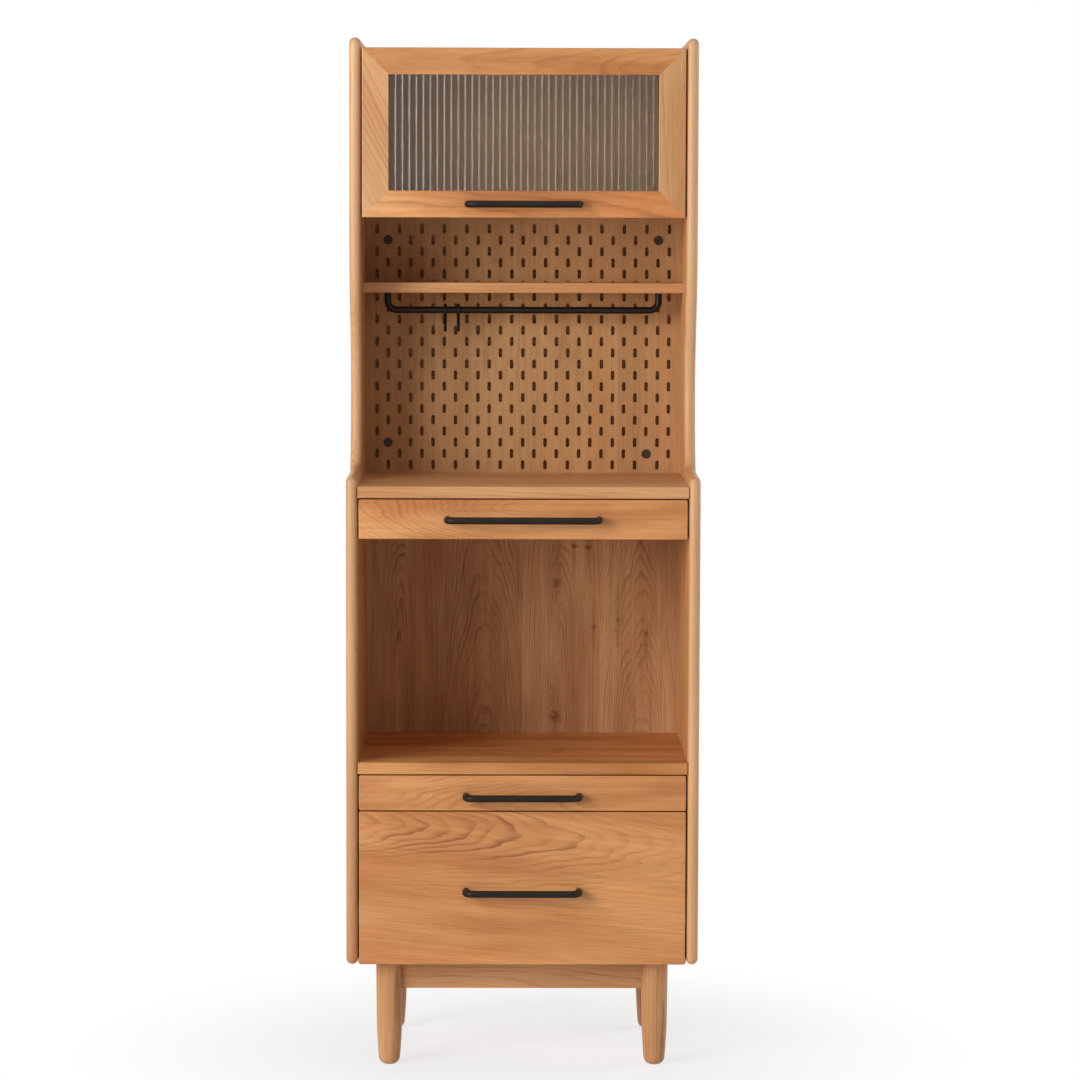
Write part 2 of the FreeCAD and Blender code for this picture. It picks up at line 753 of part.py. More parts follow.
def handle_holes(body, pitch, middle, z, thickness):
    """Clearance holes for a handle's screws, sunk behind for their heads."""
    for x in (f"{middle} - {pitch} / 2", f"{middle} + {pitch} / 2"):
        start = (x, "-cut_overrun", z)
        radius = "screw_radius + screw_hole_play"
        rod(body, "Subtractive", start, "y", radius, f"{thickness} + 2 * cut_overrun")
        start = (x, f"{thickness} - screw_sink", z)
        radius = "screw_head_radius + screw_hole_play"
        rod(body, "Subtractive", start, "y", radius, "screw_sink + cut_overrun")


def channel(name, x, y, z, depth, height, open_right):
    """Rail of bent sheet, a channel that lies along Y with its open side to the right or left."""
    body = new_body(name, x, y, z)
    block(body, "Additive", ("0", "0", "0"), (depth, "box_length", height))
    corner = ("slide_sheet" if open_right else "-cut_overrun", "-cut_overrun", "slide_sheet")
    size = (
        f"{depth} - slide_sheet + cut_overrun",
        "box_length + 2 * cut_overrun",
        f"{height} - 2 * slide_sheet",
    )
    block(body, "Subtractive", corner, size)
    return body


def drawers():
    """Three drawers on telescopic slides, each with a front, a box, a bottom and a bar handle."""
    outer_rails = []
    for label, (front_height, front_z, box_height, box_z, slide_z, pitch, drop) in DRAWERS.items():
        handle_rise = f"{front_height} / 2 - {drop}"
        bottom_z = f"{box_z} + box_bottom_rise"
        front = new_body(f"{label}_front", "-front_width / 2", "fronts_y", front_z)
        block(front, "Additive", ("0", "0", "0"), ("front_width", "front_thickness", front_height))
        round_edges(front, "front_corner", lambda bounds: bounds.XLength < NEAR and bounds.ZLength < NEAR)
        round_edges(front, "edge_round", lambda bounds: on_plane(bounds, "Y", 0))
        handle_holes(front, pitch, "front_width / 2", handle_rise, "front_thickness")
        groove = (
            "(front_width - box_inner_width) / 2",
            "front_thickness - box_groove",
            f"{bottom_z} - {front_z}",
        )
        size = ("box_inner_width", "box_groove + cut_overrun", "box_bottom_thickness")
        block(front, "Subtractive", groove, size)
        node(front, f"{label}_front")

        wall = new_body(f"{label}_left_wall", "box_x", "fronts_back_y", box_z)
        block(wall, "Additive", ("0", "0", "0"), ("box_wall", "box_length", box_height))
        groove = ("box_wall - box_groove", "-cut_overrun", "box_bottom_rise")
        size = ("box_groove + cut_overrun", "box_length + 2 * cut_overrun", "box_bottom_thickness")
        block(wall, "Subtractive", groove, size)
        rise = "box_bottom_rise + box_bottom_thickness"
        rear_y = "fronts_back_y + box_length - box_wall"
        rear = new_body(f"{label}_rear_wall", "-box_inner_width / 2", rear_y, f"{box_z} + {rise}")
        block(rear, "Additive", ("0", "0", "0"), ("box_inner_width", "box_wall", f"{box_height} - ({rise})"))
        group(f"{label}_walls", [wall, mirrored(wall, f"{label}_right_wall"), rear])

        bottom = new_body(f"{label}_bottom", "-box_inner_width / 2", "fronts_back_y - box_groove", bottom_z)
        size = ("box_inner_width", "box_length + box_groove", "box_bottom_thickness")
        block(bottom, "Additive", ("0", "0", "0"), size)
        lip = ("box_groove", "box_length", "box_bottom_thickness")
        for x in ("-box_groove", "box_inner_width"):
            block(bottom, "Additive", (x, "box_groove", "0"), lip)
        node(bottom, f"{label}_bottom")

        handle(f"{label}_handle", pitch, "fronts_y", f"{front_z} + {handle_rise}", "front_thickness")

        outer = channel(
            f"{label}_outer_rail", "inner_x", "slide_y", slide_z, "slide_flange", "slide_height", True,
        )
        outer_rails += [outer, mirrored(outer, f"{label}_outer_rail_mirror")]
        middle = channel(
            f"{label}_middle_rail", "inner_x + slide_step", "slide_y", f"{slide_z} + slide_step",
            "slide_flange", "slide_height - 2 * slide_step", True,
        )
        pair(f"{label}_slide_middle_rails", middle)
        inner = channel(
            f"{label}_inner_rail", "inner_x + 2 * slide_step", "slide_y", f"{slide_z} + 2 * slide_step",
            "slide_space - 2 * slide_step", "slide_height - 4 * slide_step", False,
        )
        pair(f"{label}_slide_inner_rails", inner)
    group("slide_outer_rails", outer_rails)


def door_frame():
    """Mitred frame of the flap, rebated behind for the glass."""
    rails = {
        "door_bottom_rail": (
            "door_z",
            [("0", "0"), ("door_width", "0"), ("door_width - frame_width", "frame_width"),
             ("frame_width", "frame_width")],
            "frame_width - rebate_width",
        ),
        "door_top_rail": (
            "door_top_z - frame_width",
            [("frame_width", "0"), ("door_width - frame_width", "0"), ("door_width", "frame_width"),
             ("0", "frame_width")],
            "-cut_overrun",
        ),
    }
    for label, (z, corners, rebate_z) in rails.items():
        body = new_body(label, "door_x", "door_y", z)
        pad(body, "XZ_Plane", corners, {}, "door_thickness")
        round_edges(body, "edge_round", lambda bounds: on_plane(bounds, "Y", 0) and bounds.ZLength < NEAR)
        size = ("door_width", "door_thickness - rebate_lip + cut_overrun", "rebate_width + cut_overrun")
        block(body, "Subtractive", ("0", "rebate_lip", rebate_z), size)
        if label == "door_bottom_rail":
            handle_holes(body, "short_handle_pitch", "door_width / 2", "frame_width / 2", "door_thickness")
        node(body, label)
    stile = new_body("door_left_stile", "door_x", "door_y", "door_z")
    corners = [
        ("0", "0"), ("frame_width", "frame_width"), ("frame_width", "door_height - frame_width"),
        ("0", "door_height"),
    ]
    pad(stile, "XZ_Plane", corners, {}, "door_thickness")
    round_edges(stile, "edge_round", lambda bounds: on_plane(bounds, "Y", 0) and bounds.XLength < NEAR)
    corner = ("frame_width - rebate_width", "rebate_lip", "0")
    size = ("rebate_width + cut_overrun", "door_thickness - rebate_lip + cut_overrun", "door_height")
    block(stile, "Subtractive", corner, size)
    node(stile, "door_left_stile")
    node(mirrored(stile, "door_right_stile"), "door_right_stile")


def door_glass():
    """Pane with upright reeds on its front, from edge to edge but for a plain margin."""
    width = value("glass_width")
    pitch = value("flute_pitch")
    rise = value("flute_rise")
    thickness = value("glass_thickness")
    flutes = int((width - pitch) // pitch)
    margin = (width - flutes * pitch) / 2
    edges = [Part.LineSegment(FreeCAD.Vector(0, rise, 0), FreeCAD.Vector(margin, rise, 0))]
    for number in range(flutes):
        start = margin + number * pitch
        edges.append(Part.Arc(
            FreeCAD.Vector(start, rise, 0),
            FreeCAD.Vector(start + pitch / 2, 0, 0),
            FreeCAD.Vector(start + pitch, rise, 0),
        ))
    rim = [
        FreeCAD.Vector(width - margin, rise, 0),
        FreeCAD.Vector(width, rise, 0),
        FreeCAD.Vector(width, thickness, 0),
        FreeCAD.Vector(0, thickness, 0),
        FreeCAD.Vector(0, rise, 0),
    ]
    edges += [Part.LineSegment(start, end) for start, end in zip(rim, rim[1:])]
    outline = Part.Wire([edge.toShape() for edge in edges])
    pane = DOC.addObject("Part::Feature", "fluted_glass")
    pane.Shape = Part.Face(outline).extrude(FreeCAD.Vector(0, 0, value("glass_height")))
    middle_z = "door_z + door_height / 2"
    place(pane, "-glass_width / 2", "door_y + rebate_lip + glass_seat", f"{middle_z} - glass_height / 2")
    node(pane, "fluted_glass")


def glazing_beads():
    """Four strips that hold the pane in its rebate from behind."""
    long_bead = "door_width - 2 * (frame_width - rebate_width)"
    low_z = "door_z + frame_width - rebate_width"
    high_z = "door_top_z - frame_width"
    pieces = []
    for name, z in (("bottom_bead", low_z), ("top_bead", high_z)):
        bead = new_body(name, f"-({long_bead}) / 2", "bead_y", z)
        block(bead, "Additive", ("0", "0", "0"), (long_bead, "bead_thickness", "rebate_width"))
        pieces.append(bead)
    upright = new_body("left_bead", f"-({long_bead}) / 2", "bead_y", f"{low_z} + rebate_width")
    size = ("rebate_width", "bead_thickness", "door_height - 2 * frame_width")
    block(upright, "Additive", ("0", "0", "0"), size)
    group("glazing_beads", pieces + [upright, mirrored(upright, "right_bead")])


def hinges():
    """Butt hinges behind the top rail; the cabinet leaves hold the outer knuckles."""
    knuckle_y = "knuckle_radius + knuckle_gap"
    third = "hinge_length / 3"
    bore = ("-cut_overrun", knuckle_y, "0")
    bore_length = "hinge_length + 2 * cut_overrun"

    hinge_x = "-hinge_distance - hinge_length / 2"
    door_leaf = new_body("hinge_door_leaf", hinge_x, "door_back_y", "hinge_z")
    plate_top = "knuckle_radius + knuckle_gap"
    size = ("hinge_length", "hinge_sheet", f"hinge_leaf_height - ({plate_top})")
    block(door_leaf, "Additive", ("0", "0", "-hinge_leaf_height"), size)
    tab = (f"{third} + knuckle_gap", "0", "-hinge_leaf_height")
    block(door_leaf, "Additive", tab, (f"{third} - 2 * knuckle_gap", "hinge_sheet", "hinge_leaf_height"))
    start = (f"{third} + knuckle_gap", knuckle_y, "0")
    rod(door_leaf, "Additive", start, "x", "knuckle_radius", f"{third} - 2 * knuckle_gap")
    rod(door_leaf, "Subtractive", bore, "x", "hinge_pin_radius + fit_play", bore_length)
    pair("hinge_door_leaves", door_leaf)

    cabinet_leaf = new_body("hinge_cabinet_leaf", hinge_x, "door_back_y", "hinge_z")
    corner = ("0", "top_panel_gap - hinge_sheet", "-hinge_plate_height")
    size = ("hinge_length", "hinge_sheet", "hinge_plate_height + hinge_sheet / 2")
    block(cabinet_leaf, "Additive", corner, size)
    web_y = f"{knuckle_y} + (knuckle_radius + hinge_pin_radius) / 2"
    for x in ("0", f"2 * {third}"):
        web = (third, f"top_panel_gap - ({web_y})", "hinge_sheet")
        block(cabinet_leaf, "Additive", (x, web_y, "-hinge_sheet / 2"), web)
        rod(cabinet_leaf, "Additive", (x, knuckle_y, "0"), "x", "knuckle_radius", third)
    rod(cabinet_leaf, "Subtractive", bore, "x", "hinge_pin_radius + fit_play", bore_length)
    pair("hinge_cabinet_leaves", cabinet_leaf)

    pin = new_body("hinge_pin", hinge_x, "hinge_y", "hinge_z")
    rod(pin, "Additive", ("0", "0", "0"), "x", "hinge_pin_radius", "hinge_length")
    pair("hinge_pins", pin)


def struts():
    """Gas struts on both sides, with both pivots equally far from the flap's hinge axis."""
    half_width = "bracket_width / 2"
    half_height = "bracket_height / 2"
    cabinet_bracket = new_body("strut_cabinet_bracket", "inner_x", "cabinet_pivot_y", "cabinet_pivot_z")
    size = ("bracket_sheet", "bracket_width", "bracket_height")
    block(cabinet_bracket, "Additive", ("0", f"-{half_width}", f"-{half_height}"), size)
    rod(cabinet_bracket, "Additive", ("0", "0", "0"), "x", "strut_stud_radius", "stud_end")
    pair("strut_cabinet_brackets", cabinet_bracket)

    door_bracket = new_body("strut_door_bracket", "inner_x", "door_back_y", "door_pivot_z")
    size = ("bracket_width", "bracket_sheet", "bracket_height")
    block(door_bracket, "Additive", ("door_side_gap", "0", f"-{half_height}"), size)
    ear_x = "door_side_gap + bracket_ear_inset"
    size = ("bracket_sheet", "strut_stud_rise + bracket_ear", "2 * bracket_ear")
    block(door_bracket, "Additive", (ear_x, "0", "-bracket_ear"), size)
    stud = (ear_x, "strut_stud_rise", "0")
    rod(door_bracket, "Additive", stud, "x", "strut_stud_radius", f"stud_end - ({ear_x})")
    pair("strut_door_brackets", door_bracket)

    def strut_body(name, y, z):
        """Body with an eye at its origin, its +Z running from the cabinet's pivot to the door's."""
        body = new_body(name, "inner_x + strut_inset", y, z)
        body.Placement = FreeCAD.Placement(FreeCAD.Vector(), FreeCAD.Rotation(0, 0, QUARTER_TURN))
        place(body, "inner_x + strut_inset", y, z)
        body.setExpression("Placement.Rotation.Angle", formula("atan2(strut_back; -strut_rise)"))
        rod(body, "Additive", ("-strut_eye_width / 2", "0", "0"), "x", "strut_eye_radius", "strut_eye_width")
        return body

    def bore_eye(body):
        start = ("-strut_eye_width / 2 - cut_overrun", "0", "0")
        radius = "strut_stud_radius + fit_play"
        rod(body, "Subtractive", start, "x", radius, "strut_eye_width + 2 * cut_overrun")

    cylinder = strut_body("strut_cylinder", "cabinet_pivot_y", "cabinet_pivot_z")
    neck = ("0", "0", "strut_eye_wall")
    rod(cylinder, "Additive", neck, "z", "strut_neck_radius", "strut_neck - strut_eye_wall")
    rod(cylinder, "Additive", ("0", "0", "strut_neck"), "z", "strut_radius", "strut_tube")
    bore = ("0", "0", "strut_neck + strut_wall")
    rod(cylinder, "Subtractive", bore, "z", "strut_rod_radius + strut_rod_play", "strut_tube")
    bore_eye(cylinder)
    pair("strut_cylinders", cylinder)

    piston_rod = strut_body("strut_rod_left", "door_pivot_y", "door_pivot_z")
    start = ("0", "0", "-strut_rod")
    rod(piston_rod, "Additive", start, "z", "strut_rod_radius", "strut_rod - strut_eye_wall")
    bore_eye(piston_rod)
    pair("strut_rods", piston_rod)


def leg(label, x, y, inward_x, inward_y):
    """Turned leg with a mortise for each of the two aprons that meet in it."""
    body = new_body(label, x, y, "0")
    sketch = new_sketch(body, "XZ_Plane")
    corners = [
        ("0", "0"), ("leg_foot_radius", "0"), ("leg_knee_radius", "leg_knee_height"),
        ("leg_radius", "floor_gap"), ("0", "floor_gap"),
    ]
    draw(sketch, corners, {1: ("leg_belly", -1)}, True)
    turned = add_feature(body, "Revolution")
    turned.Profile = sketch
    turned.ReferenceAxis = (sketch, ["V_Axis"])
    turned.Angle = FULL_TURN
    round_edges(body, "leg_foot_round", lambda bounds: on_plane(bounds, "Z", 0) and bounds.XLength > NEAR)
    deep = {1: "apron_seat", -1: "-apron_seat - mortise_depth"}
    aside = {1: "apron_inset - apron_thickness / 2", -1: "-apron_inset - apron_thickness / 2"}
    low = "floor_gap - apron_height"
    tall = "apron_height + cut_overrun"
    size = ("mortise_depth", "apron_thickness", tall)
    block(body, "Subtractive", (deep[inward_x], aside[inward_y], low), size)
    size = ("apron_thickness", "mortise_depth", tall)
    block(body, "Subtractive", (aside[inward_x], deep[inward_y], low), size)
    node(body, label)


def leg_frame():
    """Four legs and the aprons between them."""
    leg("front_left_leg", "leg_x", "front_leg_y", 1, 1)
    leg("front_right_leg", "-leg_x", "front_leg_y", -1, 1)
    leg("rear_left_leg", "leg_x", "rear_leg_y", 1, -1)
    leg("rear_right_leg", "-leg_x", "rear_leg_y", -1, -1)
    apron_z = "floor_gap - apron_height"
    places = {"front_apron": "front_leg_y + apron_inset", "rear_apron": "rear_leg_y - apron_inset"}
    for label, y in places.items():
        apron = new_body(label, "leg_x + apron_seat", f"{y} - apron_thickness / 2", apron_z)
        size = ("-2 * (leg_x + apron_seat)", "apron_thickness", "apron_height")
        block(apron, "Additive", ("0", "0", "0"), size)
        node(apron, label)
    x = "leg_x + apron_inset - apron_thickness / 2"
    side = new_body("left_apron", x, "front_leg_y + apron_seat", apron_z)
    length = "rear_leg_y - front_leg_y - 2 * apron_seat"
    block(side, "Additive", ("0", "0", "0"), ("apron_thickness", length, "apron_height"))
    pair("side_aprons", side)


def check_document():
    """Stop if an object failed, a shape is empty or a cut took nothing away."""
    for item in DOC.Objects:
        if "Invalid" in item.State or "Error" in item.State:
            raise RuntimeError(f"{item.Name} failed: {item.State}")
        if "Subtractive" in item.TypeId and item.Shape.Volume > item.BaseFeature.Shape.Volume - NEAR:
            raise RuntimeError(f"{item.Name} cuts nothing")
    for label, item in NODES.items():
        if item.Shape.isNull() or not item.Shape.isValid() or not item.Shape.Solids:
            raise RuntimeError(f"{label} has no sound shape")


side_panels()
horizontal_panels()
back_panels()
pegboard()
pegboard_fixings()
hanging_rail()
hooks()
drawers()
door_frame()
door_glass()
glazing_beads()
handle("door_handle", "short_handle_pitch", "door_y", "door_z + frame_width / 2", "door_thickness")
hinges()
struts()
leg_frame()
DOC.recompute()
check_document()
os.makedirs("parts", exist_ok=True)
for label, item in NODES.items():
    item.Shape.exportStep(f"parts/{label}.step")
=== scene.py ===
import math
import bmesh
import bpy
from mathutils import Matrix, Vector


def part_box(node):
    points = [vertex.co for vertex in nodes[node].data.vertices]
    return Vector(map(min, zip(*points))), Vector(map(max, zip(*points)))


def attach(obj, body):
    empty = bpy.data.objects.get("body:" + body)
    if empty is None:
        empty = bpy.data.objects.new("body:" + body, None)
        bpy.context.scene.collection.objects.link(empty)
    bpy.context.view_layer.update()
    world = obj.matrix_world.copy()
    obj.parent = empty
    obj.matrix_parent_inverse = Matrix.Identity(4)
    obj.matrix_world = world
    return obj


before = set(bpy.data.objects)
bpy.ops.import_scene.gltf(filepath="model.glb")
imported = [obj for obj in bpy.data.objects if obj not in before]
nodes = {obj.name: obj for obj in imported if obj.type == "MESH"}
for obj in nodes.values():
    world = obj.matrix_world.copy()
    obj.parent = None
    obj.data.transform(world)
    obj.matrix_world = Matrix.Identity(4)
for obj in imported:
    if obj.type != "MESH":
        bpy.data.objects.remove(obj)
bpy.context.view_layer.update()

WHITE = (1.0, 1.0, 1.0, 1.0)


def linear(red, green, blue):
    """Colour written as 0 to 255 values, as the linear colour that shaders take."""
    def channel(value):
        value /= 255
        return value / 12.92 if value <= 0.04045 else ((value + 0.055) / 1.055) ** 2.4
    return (channel(red), channel(green), channel(blue), 1.0)


class Net:
    """Short ways to add nodes to a node tree."""

    def __init__(self, tree):
        self.tree = tree

    def add(self, kind, **settings):
        made = self.tree.nodes.new(kind)
        for name, setting in settings.items():
            setattr(made, name, setting)
        return made

    def feed(self, socket, source):
        if isinstance(source, bpy.types.NodeSocket):
            self.tree.links.new(source, socket)
        else:
            socket.default_value = source

    def math(self, operation, *sources):
        made = self.add("ShaderNodeMath", operation=operation)
        for socket, source in zip(made.inputs, sources):
            self.feed(socket, source)
        return made.outputs[0]

    def vector(self, operation, *sources):
        made = self.add("ShaderNodeVectorMath", operation=operation)
        for socket, source in zip(made.inputs, sources):
            self.feed(socket, source)
        return made.outputs["Value"] if operation == "LENGTH" else made.outputs["Vector"]

    def split(self, source):
        made = self.add("ShaderNodeSeparateXYZ")
        self.feed(made.inputs[0], source)
        return made.outputs[0], made.outputs[1], made.outputs[2]

    def join(self, x, y, z):
        made = self.add("ShaderNodeCombineXYZ")
        for socket, source in zip(made.inputs, (x, y, z)):
            self.feed(socket, source)
        return made.outputs[0]

    def noise(self, vector, scale, detail, roughness=0.5):
        made = self.add("ShaderNodeTexNoise")
        self.feed(made.inputs["Vector"], vector)
        self.feed(made.inputs["Scale"], scale)
        self.feed(made.inputs["Detail"], detail)
        self.feed(made.inputs["Roughness"], roughness)
        return made.outputs[0]

    def chance(self, number):
        made = self.add("ShaderNodeTexWhiteNoise", noise_dimensions="1D")
        self.feed(made.inputs["W"], number)
        return self.split(made.outputs["Color"])

    def span(self, value, low, high, new_low, new_high, smooth=True):
        made = self.add("ShaderNodeMapRange", interpolation_type="SMOOTHSTEP" if smooth else "LINEAR")
        for name, source in (
            ("Value", value), ("From Min", low), ("From Max", high),
            ("To Min", new_low), ("To Max", new_high),
        ):
            self.feed(made.inputs[name], source)
        return made.outputs[0]

    def blend(self, share, first, second, mode="MIX"):
        made = self.add("ShaderNodeMix", data_type="RGBA", blend_type=mode)
        for number, source in ((0, share), (6, first), (7, second)):
            self.feed(made.inputs[number], source)
        return made.outputs[2]

    def tinted(self, colour, tint):
        return self.blend(1.0, colour, tint, "MULTIPLY")

    def bump(self, height, strength, distance):
        made = self.add("ShaderNodeBump")
        self.feed(made.inputs["Height"], height)
        made.inputs["Strength"].default_value = strength
        made.inputs["Distance"].default_value = distance
        return made.outputs[0]

    def seen(self):
        """1 for rays that show a surface, straight on, in gloss or through glass, and 0 for light."""
        path = self.add("ShaderNodeLightPath").outputs
        mirrored = self.math("MAXIMUM", path["Is Glossy Ray"], path["Is Transmission Ray"])
        return self.math("MAXIMUM", path["Is Camera Ray"], mirrored)


def new_material(name):
    """New material with its node helper, its shader and the place on the object."""
    material = bpy.data.materials.new(name)
    material.use_nodes = True
    net = Net(material.node_tree)
    shader = next(item for item in material.node_tree.nodes if item.type == "BSDF_PRINCIPLED")
    place = net.add("ShaderNodeTexCoord").outputs["Object"]
    return material, net, shader, place


# Noises of the wood, drawn out along the grain: scale along it and across it per metre, detail, roughness
GRAIN_NOISES = {
    "slow": (2.2, 11.0, 2.0, 0.5),
    "quick": (13.0, 60.0, 2.0, 0.5),
    "faint": (7.0, 26.0, 2.0, 0.5),
    "fibre": (16.0, 520.0, 5.0, 0.6),
    "thread": (3.5, 210.0, 2.0, 0.5),
    "pore": (70.0, 1500.0, 1.0, 0.5),
    "broad": (2.4, 16.0, 4.0, 0.55),
    "flush": (1.7, 34.0, 3.0, 0.5),
}
FLUSH_OFFSET = 5.0
NOISE_SHIFT = 7.0  # from stave to stave, in metres along the grain

# How far a stave strays from its neighbours, for each metre of spread
STRAY_ALONG = 10.0
STRAY_SHARE = 16.0

# Growth rings, with lengths in metres and places within a ring as shares of it
SWAY = 0.034
RIPPLE = 0.0055
HEART_NEAREST, HEART_ROUNDING = 0.004, 0.03
KNOT_SWELLING = 0.022
YEARS_BETWEEN_STAVES = 17.0
LATE_START, LATE_END = 0.62, 0.88
LATE_SOFTENING = 0.55
LATE_SHARE, EARLY_SHARE = 0.85, 0.15
WEAK_YEAR, YEAR_RANGE = 0.25, 0.75

# What a value is mapped from and to
FAINT_RANGE = (0.34, 0.6, 0.4, 1.1)
PORE_RANGE = (0.62, 0.74, 0.0, 1.0)
BROAD_RANGE = (0.32, 0.68, 0.0, 1.0)
FLUSH_RANGE = (0.45, 0.75, 0.0, 0.6)
FIBRE_SHADES = (0.25, 0.75, -0.10, 0.07)
THREAD_SHADES = (0.3, 0.7, -0.06, 0.05)
STAVE_SHADES = (0.0, 1.0, 0.95, 1.04)
PORE_SHADES = (0.0, 1.0, 1.0, 0.86)
FIBRE_ROUGHNESS = (0.3, 0.7, 0.40, 0.52)
PORE_ROUGHNESS = 0.08
LATE_SINK = 0.5

FLUSH_TINT = (1.0, 0.86, 0.72, 1.0)
KNOT_TINT = (0.42, 0.30, 0.22, 1.0)
KNOT_STRENGTH = 0.9


def wood_figure():
    """Node group that cuts boards from a trunk: rings round a leaning heart, fibres, pores and glued staves.
    Its vector runs along the grain, across the board and through it, in metres."""
    group = bpy.data.node_groups.new("wood_figure", "ShaderNodeTree")
    sockets = {
        "Vector": "NodeSocketVector", "Stave": "NodeSocketFloat", "Spread": "NodeSocketFloat",
        "Seed": "NodeSocketFloat", "Depth": "NodeSocketFloat", "Lean": "NodeSocketFloat",
        "Pitch": "NodeSocketFloat", "Contrast": "NodeSocketFloat", "Knot": "NodeSocketFloat",
        "Soft": "NodeSocketFloat", "Streak": "NodeSocketFloat",
        "Light": "NodeSocketColor", "Middle": "NodeSocketColor", "Dark": "NodeSocketColor",
    }
    results = {"Color": "NodeSocketColor", "Roughness": "NodeSocketFloat", "Height": "NodeSocketFloat"}
    for name, kind in sockets.items():
        group.interface.new_socket(name, in_out="INPUT", socket_type=kind)
    for name, kind in results.items():
        group.interface.new_socket(name, in_out="OUTPUT", socket_type=kind)
    net = Net(group)
    given = net.add("NodeGroupInput").outputs
    along, across, through = net.split(given["Vector"])

    # Staves, each from its own place in the trunk
    stave = net.math("FLOOR", net.math("DIVIDE", across, given["Stave"]))
    first, second, third = net.chance(net.math("ADD", stave, given["Seed"]))
    middle = net.math("MULTIPLY", net.math("ADD", stave, 0.5), given["Stave"])
    shifted = net.math("MULTIPLY_ADD", first, NOISE_SHIFT, along)

    def stray(number, reach, start):
        """Start, moved either way by a number between 0 and 1."""
        return net.math("MULTIPLY_ADD", net.math("SUBTRACT", number, 0.5), reach, start)

    def grain(kind, offset=0.0):
        """One of the noises that are drawn out along the grain."""
        lengthwise, crosswise, detail, roughness = GRAIN_NOISES[kind]
        return net.noise(net.join(
            net.math("MULTIPLY_ADD", shifted, lengthwise, offset),
            net.math("MULTIPLY", across, crosswise),
            net.math("MULTIPLY", through, crosswise),
        ), 1.0, detail, roughness)

    # Distance from the heart, which leans and sways
    aside = net.math("SUBTRACT", across, stray(second, given["Spread"], middle))
    run = stray(first, net.math("MULTIPLY", given["Spread"], STRAY_ALONG), along)
    vary = net.math("MULTIPLY", given["Spread"], STRAY_SHARE)
    lean = net.math("MULTIPLY", given["Lean"], stray(third, vary, 1.0))
    deep = net.math("MULTIPLY", given["Depth"], stray(first, vary, 1.0))
    sway = net.math("MULTIPLY", net.math("SUBTRACT", grain("slow"), 0.5), SWAY)
    ripple = net.math("MULTIPLY", net.math("SUBTRACT", grain("quick"), 0.5), RIPPLE)
    below = net.math("ADD", deep, net.math("MULTIPLY", lean, run))
    below = net.math("ADD", below, net.math("ADD", through, sway))
    below = net.math("SMOOTH_MAX", below, HEART_NEAREST, HEART_ROUNDING)
    squares = net.math("ADD", net.math("MULTIPLY", aside, aside), net.math("MULTIPLY", below, below))
    reach = net.math("SQRT", squares)
    reach = net.math("ADD", reach, net.math("MULTIPLY_ADD", given["Knot"], KNOT_SWELLING, ripple))

    # Late wood: dark at the end of each ring, stronger in some years and fainter in places
    count = net.math("DIVIDE", reach, given["Pitch"])
    year = net.chance(net.math("MULTIPLY_ADD", stave, YEARS_BETWEEN_STAVES, net.math("FLOOR", count)))[0]
    within = net.math("FRACT", count)
    start = net.math("MULTIPLY_ADD", given["Soft"], -LATE_SOFTENING, LATE_START)
    early = net.math("MULTIPLY", within, EARLY_SHARE)
    late = net.math("MULTIPLY_ADD", net.span(within, start, LATE_END, 0.0, 1.0), LATE_SHARE, early)
    late = net.math("MULTIPLY", late, net.span(within, LATE_END, 1.0, 1.0, 0.0))
    late = net.math("MULTIPLY", late, net.math("MULTIPLY_ADD", year, YEAR_RANGE, WEAK_YEAR))
    late = net.math("MULTIPLY", late, net.span(grain("faint"), *FAINT_RANGE))

    # Colour
    fibre = grain("fibre")
    pore = net.span(grain("pore"), *PORE_RANGE)
    colour = net.blend(net.span(grain("broad"), *BROAD_RANGE), given["Light"], given["Middle"])
    flush = net.span(grain("flush", FLUSH_OFFSET), *FLUSH_RANGE)
    colour = net.blend(flush, colour, net.tinted(colour, FLUSH_TINT))
    colour = net.blend(net.math("MULTIPLY", late, given["Contrast"]), colour, given["Dark"])
    knotted = net.math("MULTIPLY", given["Knot"], KNOT_STRENGTH)
    colour = net.blend(knotted, colour, net.tinted(colour, KNOT_TINT))
    thread = net.span(grain("thread"), *THREAD_SHADES, smooth=False)
    strand = net.math("ADD", net.span(fibre, *FIBRE_SHADES, smooth=False), thread)
    strand = net.math("MULTIPLY_ADD", strand, given["Streak"], 1.0)
    shade = net.math("MULTIPLY", strand, net.span(third, *STAVE_SHADES, smooth=False))
    shade = net.math("MULTIPLY", shade, net.span(pore, *PORE_SHADES, smooth=False))

    result = net.add("NodeGroupOutput").inputs
    rough = net.span(fibre, *FIBRE_ROUGHNESS, smooth=False)
    net.feed(result["Color"], net.tinted(colour, net.join(shade, shade, shade)))
    net.feed(result["Roughness"], net.math("ADD", rough, net.math("MULTIPLY", pore, PORE_ROUGHNESS)))
    net.feed(result["Height"], net.math("SUBTRACT", fibre, net.math("MULTIPLY_ADD", late, LATE_SINK, pore)))
    return group


WOOD = wood_figure()

# Tones of the wood: light, middle and dark
CHERRY = (linear(223, 159, 100), linear(187, 119, 66), linear(142, 80, 41))
EDGE = (linear(222, 166, 113), linear(201, 142, 90), linear(150, 93, 52))
FRONT = (linear(219, 155, 97), linear(192, 124, 71), linear(142, 80, 41))
# STILE is paler, partly the wood's own tone and partly a painted sheen
STILE = (linear(223, 174, 126), linear(202, 149, 101), linear(151, 97, 58))
# BACK is darker, partly the wood's own tone and partly painted shade
BACK = (linear(208, 161, 116), linear(180, 132, 91), linear(118, 76, 51))
BOARD = (linear(196, 150, 104), linear(181, 136, 91), linear(132, 90, 57))
PALE = (linear(226, 188, 142), linear(214, 172, 124), linear(176, 126, 80))

NO_STAVES = 8.0  # wider than any board

